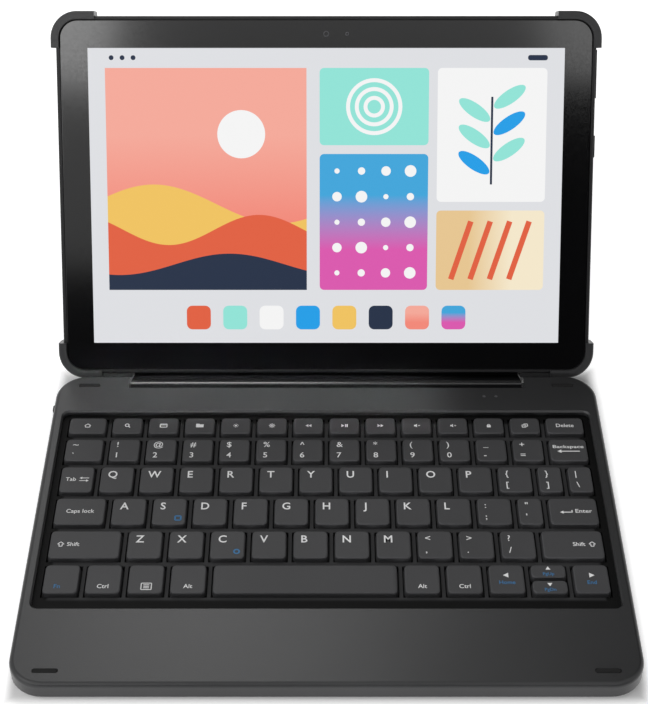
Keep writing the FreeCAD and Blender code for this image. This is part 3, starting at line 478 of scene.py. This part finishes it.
def cap_surface(low, high, sizes):
    """One keycap as rings of a rounded rectangle: skirt, leaning side, round edge and a dished top.

    Ring by ring the inset follows the taper, then edge * (1 - cos), and the height edge * sin of the
    same turn. On the top the sag is the dish times one less the squared share of the way out."""
    half = np.array([high[0] - low[0], high[1] - low[1]]) / 2
    middle = np.array([low[0] + high[0], low[1] + high[1], 0.0]) / 2
    top, tall = high[2], high[2] - low[2]
    turn = np.linspace(0.0, math.pi / 2, CURVE_STEPS)
    edge = sizes.edge_round
    inset = np.concatenate([[0.0, sizes.taper * SKIRT_SHARE], sizes.taper + edge * (1 - np.cos(turn))])
    height = np.concatenate([[low[2], low[2] + tall * SKIRT_SHARE], top - edge + edge * np.sin(turn)])
    rings = []
    for d, z in zip(inset, height):
        corner = sizes.corner - CORNER_SHRINK * d
        rings.append(lifted(rounded_path(half[0] - d, half[1] - d, corner, CURVE_STEPS), z))
    rim = rings[-1][:, :2]
    rings += [lifted(rim * share, top - sizes.dish * (1 - share ** 2)) for share in DISH_RINGS]
    count = len(rim)
    faces = ring_faces(len(rings), count).tolist()
    faces.append(list(range((len(rings) - 1) * count, len(rings) * count)))
    return np.concatenate(rings) + middle, faces


# Legends: flat shapes in millimetres about a key's middle

def text_shape(text, height, stroke, stretch=1.0):
    """Points and faces of a word, centred, with a set capital height and a stroke made bolder."""
    curve = bpy.data.curves.new("word", "FONT")
    curve.body = text
    curve.size = height * SIZE_OF_CAPITAL
    curve.offset = stroke
    curve.align_x = "CENTER"
    curve.align_y = "CENTER"
    curve.resolution_u = 3
    holder = bpy.data.objects.new("word", curve)
    bpy.context.scene.collection.objects.link(holder)
    mesh = bpy.data.meshes.new_from_object(holder.evaluated_get(bpy.context.evaluated_depsgraph_get()))
    points = np.empty(len(mesh.vertices) * 3)
    mesh.vertices.foreach_get("co", points)
    points = points.reshape(-1, 3)[:, :2] * np.array([stretch, 1.0])
    faces = [list(face.vertices) for face in mesh.polygons]
    bpy.data.objects.remove(holder)
    bpy.data.curves.remove(curve)
    bpy.data.meshes.remove(mesh)
    return points, faces


def polygon(*corners):
    """A filled shape from its corners, anticlockwise."""
    return np.array(corners, float), [list(range(len(corners)))]


def bar(start, end, width):
    """A straight stroke."""
    a, b = np.array(start, float), np.array(end, float)
    along = (b - a) / np.linalg.norm(b - a)
    side = np.array([-along[1], along[0]]) * width / 2
    return np.array([a - side, b - side, b + side, a + side]), [[0, 1, 2, 3]]


def arc(centre, radius, width, start=0.0, end=360.0, steps=21):
    """A round stroke between two angles."""
    turn = np.radians(np.linspace(start, end, steps))
    way = np.stack([np.cos(turn), np.sin(turn)], axis=1)
    points = np.concatenate([way * (radius - width / 2), way * (radius + width / 2)]) + np.array(centre)
    return points, [[i, i + steps, i + steps + 1, i + 1] for i in range(steps - 1)]


def spot(centre, radius, sides=24, turn=0.0, squash=1.0):
    """A filled circle, ellipse or regular polygon."""
    way = np.radians(np.arange(sides) * 360.0 / sides)
    flat = np.stack([np.cos(way) * radius, np.sin(way) * radius * squash], axis=1)
    return turned(flat, turn) + np.array(centre), [list(range(sides))]


def turned(points, turn):
    """Points turned anticlockwise about the origin."""
    return points @ np.array([[math.cos(turn), math.sin(turn)], [-math.sin(turn), math.cos(turn)]])


def outline_box(low, high, width):
    """A rectangle drawn as four strokes."""
    (x0, y0), (x1, y1) = low, high
    return joined([bar((x0, y0), (x1, y0), width), bar((x1, y0), (x1, y1), width),
                   bar((x1, y1), (x0, y1), width), bar((x0, y1), (x0, y0), width)])


def moved(shape, x, y):
    """A shape moved by x and y."""
    return shape[0] + np.array([x, y]), shape[1]


def from_left(shape, x):
    """A shape moved so that its left edge is at x."""
    return moved(shape, x - shape[0][:, 0].min(), 0.0)


def arrow(reach, head, width, turn):
    """A stroke with a pointed head, turned by an angle."""
    neck, tip = reach / 2 - head, reach / 2
    points, faces = joined([bar((-tip, 0), (neck, 0), width),
                            polygon((neck, -head * 0.6), (tip, 0), (neck, head * 0.6))])
    return turned(points, turn), faces


def shift_sign():
    """An open upward arrow."""
    corners = [(0, 1.4), (1.4, 0.1), (0.65, 0.1), (0.65, -1.1), (-0.65, -1.1), (-0.65, 0.1), (-1.4, 0.1)]
    return joined([bar(a, b, FINE_LINE) for a, b in zip(corners, corners[1:] + corners[:1])])


def function_signs():
    """Plain signs for the function row."""
    w = 0.42
    eighths = np.radians(np.arange(0, 360, 45))
    ways = [np.array([math.cos(a), math.sin(a)]) for a in eighths]
    rays = [bar(0.8 * way, 1.4 * way, w) for way in ways]
    dots = [spot(1.05 * way, 0.2, 8) for way in ways]
    speaker = polygon((-1.1, -0.45), (-0.5, -0.45), (0.2, -1.1), (0.2, 1.1), (-0.5, 0.45), (-1.1, 0.45))
    back = polygon((0.9, -0.9), (0.9, 0.9), (-0.4, 0.0))
    forth = polygon((-0.9, 0.9), (-0.9, -0.9), (0.4, 0.0))
    minus = bar((0.7, 0.0), (1.6, 0.0), w)
    plus = bar((1.15, -0.45), (1.15, 0.45), w)
    house = [(-1.0, 0.2), (-1.0, -1.0), (1.0, -1.0), (1.0, 0.2)]
    roof = [(-1.4, 0.0), (0.0, 1.1), (1.4, 0.0)]
    return {
        "home": joined([bar(a, b, w) for path in (roof, house) for a, b in zip(path, path[1:])]),
        "function_1": joined([arc((-0.2, 0.25), 0.85, w), bar((0.35, -0.35), (1.15, -1.15), w * 1.2)]),
        "function_2": joined([outline_box((-1.5, -1.0), (1.5, 1.0), w), bar((-1.5, 0.45), (1.5, 0.45), w)]),
        "function_3": polygon((-1.7, -1.1), (1.7, -1.1), (1.7, 0.8), (0.1, 0.8), (-0.3, 1.2), (-1.7, 1.2)),
        "function_4": joined([spot((0, 0), 0.55)] + dots),
        "function_5": joined([arc((0, 0), 0.45, w)] + rays),
        "function_6": joined([moved(back, -0.8, 0), moved(back, 0.6, 0)]),
        "function_7": joined([moved(forth, -0.4, 0), bar((0.6, -0.9), (0.6, 0.9), w),
                              bar((1.3, -0.9), (1.3, 0.9), w)]),
        "function_8": joined([moved(forth, -0.4, 0), moved(forth, 1.0, 0)]),
        "function_9": joined([speaker, minus]),
        "function_10": joined([speaker, minus, plus]),
        "function_11": joined([polygon((-0.9, -1.1), (0.9, -1.1), (0.9, 0.2), (-0.9, 0.2)),
                               arc((0, 0.2), 0.55, w, 0, 180)]),
        "function_12": joined([outline_box((-1.2, -1.1), (0.4, 0.5), w),
                               outline_box((-0.4, -0.5), (1.2, 1.1), w)]),
    }


def paired_signs():
    """The upper and lower sign of each two-sign key."""
    pairs = {"grave": ("~", "`"), "minus": ("_", "-"), "equals": ("+", "="), "left_bracket": ("{", "["),
             "right_bracket": ("}", "]"), "backslash": ("|", "\\"), "semicolon": (":", ";"),
             "quote": ('"', "'"), "comma": ("<", ","), "full_stop": (">", "."), "slash": ("?", "/")}
    pairs.update({f"digit_{i + 1}": (sign, str((i + 1) % 10)) for i, sign in enumerate("!@#$%^&*()")})
    return pairs


def legend_table(boxes, sizes):
    """Main and second marks for each key, as flat shapes in millimetres about the key's middle."""
    letter, sign, word, bold = (size / MM for size in (sizes.letter_height, sizes.sign_height,
                                                       sizes.word_height, sizes.stroke))
    thin = bold / 3
    left = {name: (low[0] - high[0]) / 2 / MM for name, (low, high) in boxes.items()}

    def said(text, x=0.0, y=0.0, share=1.0, stretch=1.0):
        """A word in the thin stroke, moved to its place."""
        return moved(text_shape(text, word * share, thin, stretch), x, y)

    main = {name: [shape] for name, shape in function_signs().items()}
    for name, pair in paired_signs().items():
        margin = left[name] + SIGN_MARGIN
        main[name] = [moved(from_left(text_shape(mark, sign, thin), margin), 0, y)
                      for mark, y in zip(pair, (SIGN_ROW, -SIGN_ROW))]
    for c in "qwertyuiopasdfghjklzxcvbnm":
        name = f"letter_{c}"
        shape = text_shape(c.upper(), letter, bold, LETTER_STRETCH)
        main[name] = [moved(from_left(shape, left[name] + LETTER_MARGIN), 0, LETTER_ROW)]
    words = {"delete": ("Delete", 0.0), "caps_lock": ("Caps lock", 0.0), "left_ctrl": ("Ctrl", FOOT_ROW),
             "left_alt": ("Alt", FOOT_ROW), "right_alt": ("Alt", FOOT_ROW), "right_ctrl": ("Ctrl", FOOT_ROW)}
    main.update({name: [said(text, y=y)] for name, (text, y) in words.items()})
    main["backspace"] = [said("Backspace", 0.0, 2.0, 0.9, 1.25),
                         moved(arrow(10.0, 1.8, LINE, math.pi), 0, -0.8)]
    main["tab"] = [said("Tab", -2.6), moved(arrow(4.2, 1.2, FINE_LINE, math.pi), 3.2, 0.8),
                   moved(arrow(4.2, 1.2, FINE_LINE, 0), 3.2, -0.8)]
    main["enter"] = [said("Enter", 4.3, stretch=1.1), moved(arrow(5.4, 1.5, LINE, math.pi), -3.1, -0.6),
                     bar((-0.6, -0.6), (-0.6, 0.6), LINE)]
    main["left_shift"] = [moved(shift_sign(), -10.2, 0), said("Shift", -5.0)]
    main["right_shift"] = [said("Shift", 2.6), moved(shift_sign(), 8.2, 0)]
    lines = [bar((-1.2, y), (1.2, y), FINE_LINE) for y in (-0.8, 0.0, 0.8)]
    page = [outline_box((-2.1, -1.7), (2.1, 1.7), FINE_LINE)] + lines
    main["menu"] = [moved(shape, 0.4, FOOT_ROW) for shape in page]
    second = {"fn": [said("Fn", -1.4, FOOT_ROW)],
              "letter_s": [moved(outline_box((-1.2, -1.2), (1.2, 1.2), BOLD_LINE), *SECOND_PLACE)],
              "letter_c": [moved(arc((0, 0), 1.1, BOLD_LINE), *SECOND_PLACE)]}
    ways = {"arrow_right": ("End", 0.0), "arrow_up": ("PgUp", 0.5),
            "arrow_left": ("Home", 1.0), "arrow_down": ("PgDn", 1.5)}
    for name, (text, half_turns) in ways.items():
        short = name in ("arrow_up", "arrow_down")
        radius, head_row, word_row, share = (1.2, 1.4, -1.5, 0.75) if short else (1.5, 2.0, -1.9, 0.9)
        main[name] = [moved(spot((0, 0), radius, 3, half_turns * math.pi), 0, head_row)]
        second[name] = [said(text, 0.0, word_row, share)]
    return main, second


class CASE_OT_keys(bpy.types.Operator):
    """Make the keycaps and their printed legends"""
    bl_idname = "case.keys"
    bl_label = "Keys"

    def execute(self, context):
        sizes = context.scene.case_keys
        cap = moulded("key_plastic", sizes.cap_colour, 0.52, 2600.0, 0.14, specular=0.3)
        main_ink = moulded("white_ink", sizes.print_colour, 0.6, 1500.0, 0.05, specular=0.3)
        second_ink = moulded("blue_ink", sizes.second_colour, 0.6, 1500.0, 0.05, specular=0.3)
        boxes = key_boxes(sizes)
        main, second = legend_table(boxes, sizes)
        groups = {node: (members, f"{node}_row") for node, members in KEY_GROUPS.items()}
        groups.update({f"key_{name}": ([name], f"key_{name}_cap") for name in SINGLE_KEYS})
        for node, (members, body) in groups.items():
            points, faces = joined([cap_surface(*boxes[name], sizes) for name in members])
            dress(make_mesh(f"{node}_caps", points, faces, True), body, cap, [node])
            for label, table, ink in (("print", main, main_ink), ("second_print", second, second_ink)):
                marks = [self.placed(shape, boxes[name], sizes)
                         for name in members for shape in table.get(name, [])]
                if marks:
                    dress(make_mesh(f"{node}_{label}", *joined(marks)), body, ink)
        return {"FINISHED"}

    def placed(self, shape, box, sizes):
        """A flat legend laid on its key's top."""
        low, high = box
        points, faces = shape
        flat = points * MM + np.array([low[0] + high[0], low[1] + high[1]]) / 2
        return lifted(flat, high[2] + sizes.print_lift), faces


# Screen: shapes in millimetres about the middle of the lit area

def screen_matrix(sizes):
    """From the screen's own plane, its middle at the origin, to the open tablet's glass front."""
    low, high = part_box("tablet_glass")
    turn = Matrix.Rotation(math.pi - sizes.open_angle, 4, "X")
    return Matrix.Translation((low + high) / 2) @ turn @ Matrix.Translation((0, 0, sizes.glass / 2))


def carried(points, matrix):
    """Points turned and moved by a matrix."""
    return points @ np.array(matrix.to_3x3()).T + np.array(matrix.translation)


def panel(x, y, radius=0.05):
    """A filled rounded rectangle between two pairs of sides."""
    path = rounded_path((x[1] - x[0]) / 2, (y[1] - y[0]) / 2, radius, 6)
    return path + np.array([sum(x), sum(y)]) / 2, [list(range(len(path)))]


def wave(x, foot, level, rise, waves, phase):
    """A filled strip from a straight foot up to a crest: level + rise * sin(2 pi waves t + phase)."""
    t = np.linspace(0.0, 1.0, 49)
    n = len(t)
    across = x[0] + (x[1] - x[0]) * t
    crest = level + rise * np.sin(2 * math.pi * waves * t + phase)
    points = np.concatenate([lifted(across, foot), np.column_stack([across, crest])])
    return points, [[i, i + 1, i + 1 + n, i + n] for i in range(n - 1)]


class CASE_OT_screen(bpy.types.Operator):
    """Make the black glass border and the lit picture in it"""
    bl_idname = "case.screen"
    bl_label = "Screen"

    def execute(self, context):
        self.sizes = context.scene.case_screen
        self.matrix = screen_matrix(self.sizes)
        self.border()
        self.eyes()
        self.picture()
        return {"FINISHED"}

    def border(self):
        """Glass border as rings: down from the picture, flat across, and round the outer edge."""
        s = self.sizes
        lit_half = np.array([s.width, s.height]) / 2
        outer_half = lit_half + s.border
        square = 0.05 * MM
        rows = [(lit_half, square, -s.depth), (lit_half, square, 0.0)]
        for a in np.linspace(0.0, math.pi / 2, 4):
            out = s.edge * math.sin(a) - s.edge
            rows.append((outer_half + out, s.corner + out, s.edge * (math.cos(a) - 1)))
        rows.append((outer_half, s.corner, -s.glass))
        rings = [lifted(rounded_path(half[0], half[1], radius, 12), z) for half, radius, z in rows]
        points = carried(np.concatenate(rings), self.matrix)
        piece = make_mesh("glass_border", points, ring_faces(len(rings), len(rings[0])))
        glass = moulded("border_glass", s.border_colour, 0.11, 900.0, 0.0)
        dress(piece, "tablet_cover", glass, ["tablet_glass"])

    def eyes(self):
        """The rings of the front camera and the light sensor, printed on the border."""
        dots = []
        for node, radius in (("tablet_front_camera", 1.1), ("tablet_light_sensor", 0.7)):
            low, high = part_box(node)
            middle = self.matrix.inverted() @ ((low + high) / 2)
            points, faces = arc((middle.x / MM, middle.y / MM), radius, LINE, steps=25)
            dots.append((lifted(points * MM, self.sizes.layer), faces))
        points, faces = joined(dots)
        ring = moulded("eye_ring", self.sizes.eye_colour, 0.4, 900.0, 0.0)
        dress(make_mesh("eye_rings", carried(points, self.matrix), faces), "tablet_cover", ring)

    def picture(self):
        """A made-up start screen without words: a big panel of dunes, four tiles and a row of buttons."""
        glow = self.sizes.glow
        self.ink = {
            "ground": lit("picture_ground", (0.78, 0.79, 0.82), glow),
            "white": lit("picture_white", (0.97, 0.97, 0.97), glow),
            "navy": lit("picture_navy", (0.012, 0.025, 0.06), glow),
            "coral": lit("picture_coral", (0.8, 0.12, 0.05), glow),
            "teal": lit("picture_teal", (0.3, 0.82, 0.72), glow),
            "blue": lit("picture_blue", (0.01, 0.36, 0.85), glow),
            "yellow": lit("picture_yellow", (0.93, 0.58, 0.12), glow),
            "dawn": lit_blend("picture_dawn", (0.95, 0.26, 0.2), (0.97, 0.42, 0.34), glow, "Y"),
            "dusk": lit_blend("picture_dusk", (0.75, 0.1, 0.45), (0.05, 0.4, 0.75), glow, "Y"),
            "sand": lit_blend("picture_sand", (0.85, 0.6, 0.3), (0.97, 0.86, 0.64), glow, "X"),
        }
        self.shapes = {name: [] for name in self.ink}
        half_x, half_y = self.sizes.width / 2 / MM, self.sizes.height / 2 / MM
        self.add("ground", panel((-half_x, half_x), (-half_y, half_y)), 0)
        self.dunes((-101.0, -9.0), (-43.0, 59.0))
        self.tiles((-3.0, 47.0), (51.0, 101.0))
        self.buttons()
        for name, shapes in self.shapes.items():
            self.make(name, shapes)

    def add(self, colour, shape, layer):
        """Notes a patch of a colour on a layer of the picture."""
        self.shapes[colour].append((shape, layer))

    def make(self, name, shapes):
        """All patches of one colour as one mesh, each with its own unit square as UV.

        The picture casts no tint on the deck, so it is hidden from reflections and soft light."""
        sizes = self.sizes
        flat, faces = joined([shape for shape, _ in shapes])
        heights = [np.full(len(points), layer * sizes.layer - sizes.depth) for (points, _), layer in shapes]
        unit = [(points - points.min(axis=0)) / np.ptp(points, axis=0) for (points, _), _ in shapes]
        points = np.column_stack([flat * MM, np.concatenate(heights)])
        piece = make_mesh(f"picture_{name}", carried(points, self.matrix), faces)
        corner = np.empty(len(piece.data.loops), int)
        piece.data.loops.foreach_get("vertex_index", corner)
        uv = piece.data.uv_layers.new(name="UVMap")
        uv.data.foreach_set("uv", np.concatenate(unit)[corner].ravel())
        dress(piece, "tablet_cover", self.ink[name])
        piece.visible_diffuse = False
        piece.visible_glossy = False

    def dunes(self, x, y):
        """The big panel: a sky, a sun and three bands of dunes."""
        self.add("dawn", panel(x, y), 1)
        self.add("white", spot((x[0] + 62.0, y[0] + 72.0), 11.0, 48), 2)
        # Each: colour, level, rise, waves, phase
        bands = (("yellow", 40.0, 9.0, 0.8, 0.4), ("coral", 28.0, 7.0, 1.1, 2.6),
                 ("navy", 12.0, 5.0, 0.9, 4.4))
        for i, (colour, level, rise, waves, phase) in enumerate(bands):
            self.add(colour, wave(x, y[0], y[0] + level, rise, waves, phase), 3 + i)

    def tiles(self, left, right):
        """Four tiles of unlike sizes in two columns: rings, leaves, dots and stripes."""
        top, foot, corner = 59.0, -43.0, 2.0
        self.add("teal", panel(left, (24.0, top), corner), 1)
        for radius in (4.0, 8.0, 12.0):
            self.add("white", arc((22.0, 41.5), radius, 1.8, steps=49), 2)
        self.add("white", panel(right, (-2.0, top), corner), 1)
        stem = sum(right) / 2
        self.add("navy", bar((stem, 6.0), (stem, 46.0), 1.0), 2)
        for i in range(6):
            side = 1 if i % 2 else -1
            leaf = spot((stem + side * 8.0, 16.0 + 6.0 * i), 8.5, 32, side * 0.6, 0.36)
            self.add("teal" if i % 3 else "blue", leaf, 3)
        self.add("dusk", panel(left, (foot, 20.0), corner), 1)
        for i in range(4):
            for j in range(5):
                radius = 1.2 + 0.5 * ((i + 2 * j) % 4)
                self.add("white", spot((5.0 + 11.3 * i, -35.0 + 11.8 * j), radius), 2)
        self.add("sand", panel(right, (foot, -6.0), corner), 1)
        for i in range(4):
            self.add("coral", bar((58.0 + 9.0 * i, -38.0), (67.0 + 9.0 * i, -11.0), 2.6), 2)

    def buttons(self):
        """A row of coloured buttons below, three dots and a pill above."""
        pitch, half, row = 17.0, 5.6, -56.0
        colours = ["coral", "teal", "white", "blue", "yellow", "navy", "dawn", "dusk"]
        for i, colour in enumerate(colours):
            x = (i - (len(colours) - 1) / 2) * pitch
            self.add(colour, panel((x - half, x + half), (row - half, row + half), 2.6), 1)
        for i in range(3):
            self.add("navy", spot((-98.0 + 5.0 * i, 63.6), 1.1), 1)
        self.add("navy", panel((92.0, 101.0), (62.4, 64.8), 1.0), 1)


# Screws

class CASE_OT_screws(bpy.types.Operator):
    """Make dark crosses on the cover screws' heads, painted shade of their cross recesses"""
    bl_idname = "case.screws"
    bl_label = "Screws"

    def execute(self, context):
        screws = frame["nodes"]["cover_screws"]
        points = np.empty(len(screws.data.vertices) * 3)
        screws.data.vertices.foreach_get("co", points)
        points = carried(points.reshape(-1, 3), screws.matrix_world)
        head_depth, apart, reach, width, lift = 0.05 * MM, 20 * MM, 0.75, 0.3, 0.01 * MM
        floor = points[:, 2].min()
        heads = points[points[:, 2] < floor + head_depth]
        cells = np.round(heads[:, :2] / apart).astype(int)
        cross, faces = joined([bar((-reach, 0), (reach, 0), width), bar((0, -reach), (0, reach), width)])
        downward = [face[::-1] for face in faces]
        crosses = []
        for cell in np.unique(cells, axis=0):
            middle = heads[(cells == cell).all(axis=1), :2].mean(axis=0)
            crosses.append((lifted(cross * MM + middle, floor - lift), downward))
        # Painted shade: flat dark crosses stand in for the shade inside the screws' recesses
        recess = moulded("screw_recess", context.scene.case_finish.recess_shade_colour, 0.7, 900.0, 0.0)
        dress(make_mesh("screw_recess_shades", *joined(crosses)), "keyboard_base", recess)
        return {"FINISHED"}


# Stage

class CASE_OT_stage(bpy.types.Operator):
    """Make the floor, the lights and the camera"""
    bl_idname = "case.stage"
    bl_label = "Stage"

    def execute(self, context):
        scene = context.scene
        settings = scene.case_stage
        scene.view_settings.view_transform = "Standard"
        far = 6.0
        floor = make_mesh("floor", [(-far, -far, 0), (far, -far, 0), (far, far, 0), (-far, far, 0)],
                          [[0, 1, 2, 3]])
        floor.data.materials.append(self.floor_material(settings))
        self.world(scene, settings)
        self.cards()
        self.lamps()
        camera = bpy.data.cameras.new("camera")
        camera.lens = settings.lens
        camera.sensor_width = 36.0
        holder = bpy.data.objects.new("camera", camera)
        holder.location = settings.place
        holder.rotation_euler = (math.pi / 2 - settings.pitch, 0.0, 0.0)
        scene.collection.objects.link(holder)
        scene.camera = holder
        return {"FINISHED"}

    def seen(self, tree):
        """One where a ray from the camera, a reflection or a glass looks, nought for soft light."""
        path = tree.nodes.new("ShaderNodeLightPath")
        total = path.outputs["Is Camera Ray"]
        for name in ("Is Glossy Ray", "Is Transmission Ray"):
            total = reckon(tree, "MAXIMUM", total, path.outputs[name], clamp=True)
        return total

    def floor_material(self, settings):
        """Pale floor that reads as white and keeps the shadow.

        Its glow fades out under the case and in a band round it, a painted shade. It is clear from
        below, and under the base it is clear to all but the camera, so that the underside is lit too."""
        material = plain_material("floor", (0.88, 0.88, 0.88), 0.9)
        tree = material.node_tree
        nodes, links = tree.nodes, tree.links
        shader = nodes["Principled BSDF"]
        shader.inputs["Emission Color"].default_value = (1.0, 1.0, 1.0, 1.0)
        low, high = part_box("base_bottom_cover")
        _, spine_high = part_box("hinge_spine")
        past = past_box(tree, low, (high[0], spine_high[1]))
        # Painted shade: the floor's glow is taken off by position under the case and comes back within the
        # shade edge
        fade = ranged(tree, past, (-settings.shade_edge / 2, settings.shade_edge))
        level = reckon(tree, "MULTIPLY", self.seen(tree), fade, clamp=True)
        glow = reckon(tree, "MULTIPLY", level, settings.floor_glow)
        links.new(glow, shader.inputs["Emission Strength"])
        path = nodes.new("ShaderNodeLightPath")
        kept = reckon(tree, "MAXIMUM", path.outputs["Is Camera Ray"], fade, clamp=True)
        side = nodes.new("ShaderNodeNewGeometry")
        solid = reckon(tree, "SUBTRACT", kept, side.outputs["Backfacing"], clamp=True)
        clear = nodes.new("ShaderNodeBsdfTransparent")
        either = nodes.new("ShaderNodeMixShader")
        links.new(solid, either.inputs["Fac"])
        links.new(clear.outputs["BSDF"], either.inputs[1])
        links.new(shader.outputs["BSDF"], either.inputs[2])
        links.new(either.outputs["Shader"], nodes["Material Output"].inputs["Surface"])
        return material

    def world(self, scene, settings):
        """White surround where it is seen, softer for lighting."""
        world = bpy.data.worlds.new("studio")
        scene.world = world
        world.use_nodes = True
        tree = world.node_tree
        back = tree.nodes["Background"]
        back.inputs["Color"].default_value = (1.0, 1.0, 1.0, 1.0)
        level = ranged(tree, self.seen(tree), levels=(settings.surround, 1.0), smooth=False)
        tree.links.new(level, back.inputs["Strength"])

    def cards(self):
        """Black cards that only reflections see, to darken the gloss on the right."""
        black = plain_material("black_card", (0.0, 0.0, 0.0), 1.0, 0.0)
        front_y, rear_z = -1.0, 1.1
        front = [(-0.6, 0.0), (1.6, 0.0), (1.6, 0.82), (-0.2, 0.82), (-0.2, 0.56), (-0.6, 0.56)]
        rear = [(0.0, 0.25), (1.6, 0.25), (1.6, 2.2), (0.0, 2.2)]
        corners = {"front_card": [(x, front_y, z) for x, z in front],
                   "rear_card": [(x, y, rear_z) for x, y in rear]}
        for name, points in corners.items():
            card = make_mesh(name, points, [list(range(len(points)))])
            card.data.materials.append(black)
            card.visible_camera = False
            card.visible_diffuse = False
            card.visible_transmission = False
            card.visible_shadow = False

    def lamps(self):
        """Soft lamps left, right and behind, a strip before the front edge and one on the rear deck."""
        self.lamp("left_softbox", place=(-0.8, -0.45, 0.85), target=(-0.05, -0.08, 0.03),
                  size=(0.8, 0.8), power=4.0)
        self.lamp("left_glass_lamp", place=(-0.43, -1.15, 1.1), target=(0.0, 0.1, 0.1),
                  size=(0.3, 0.3), power=1.5)
        self.lamp("right_glass_lamp", place=(0.45, -1.15, 1.02), target=(0.0, 0.1, 0.1),
                  size=(0.3, 0.36), power=0.7)
        self.lamp("front_strip", place=(-0.1, -0.9, 0.1), target=(0.0, -0.14, 0.0),
                  size=(1.2, 0.12), power=9.0, mirrored=False)
        self.lamp("rear_panel", place=(-0.1, 0.85, 1.05), target=(-0.02, -0.08, 0.0),
                  size=(0.45, 0.9), power=5.2)
        self.lamp("deck_strip", place=(-0.05, -0.45, 0.75), target=(-0.03, 0.03, 0.01),
                  size=(0.16, 0.01), power=0.04, spread=3.0, mirrored=False)

    def lamp(self, name, place, target, size, power, spread=180.0, mirrored=True):
        """A rectangular lamp aimed at a point, soft unless its spread in degrees is small."""
        light = bpy.data.lights.new(name, "AREA")
        light.shape = "RECTANGLE"
        light.size, light.size_y = size
        light.energy = power
        light.spread = math.radians(spread)
        holder = bpy.data.objects.new(name, light)
        holder.visible_glossy = mirrored
        holder.location = place
        holder.rotation_euler = (Vector(target) - Vector(place)).to_track_quat("-Z", "Y").to_euler()
        bpy.context.scene.collection.objects.link(holder)


# Add-on

class CASE_PT_panel(bpy.types.Panel):
    """Buttons for each group of pieces"""
    bl_idname = "CASE_PT_panel"
    bl_label = "Case"
    bl_space_type = "VIEW_3D"
    bl_region_type = "UI"
    bl_category = "Case"

    def draw(self, context):
        for operator in OPERATORS:
            self.layout.operator(operator.bl_idname)


OPERATORS = (CASE_OT_surfaces, CASE_OT_keys, CASE_OT_screen, CASE_OT_screws, CASE_OT_stage)
SETTINGS = {"case_keys": CaseKeys, "case_screen": CaseScreen, "case_finish": CaseFinish,
            "case_stage": CaseStage}


def register():
    for name, group in SETTINGS.items():
        bpy.utils.register_class(group)
        setattr(bpy.types.Scene, name, bpy.props.PointerProperty(type=group))
    for cls in OPERATORS + (CASE_PT_panel,):
        bpy.utils.register_class(cls)


def unregister():
    for cls in (CASE_PT_panel,) + OPERATORS:
        bpy.utils.unregister_class(cls)
    for name, group in SETTINGS.items():
        delattr(bpy.types.Scene, name)
        bpy.utils.unregister_class(group)


def main():
    register()
    bpy.ops.case.surfaces()
    bpy.ops.case.keys()
    bpy.ops.case.screen()
    bpy.ops.case.screws()
    bpy.ops.case.stage()
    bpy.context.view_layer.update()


if __name__ == "__main__":
    main()
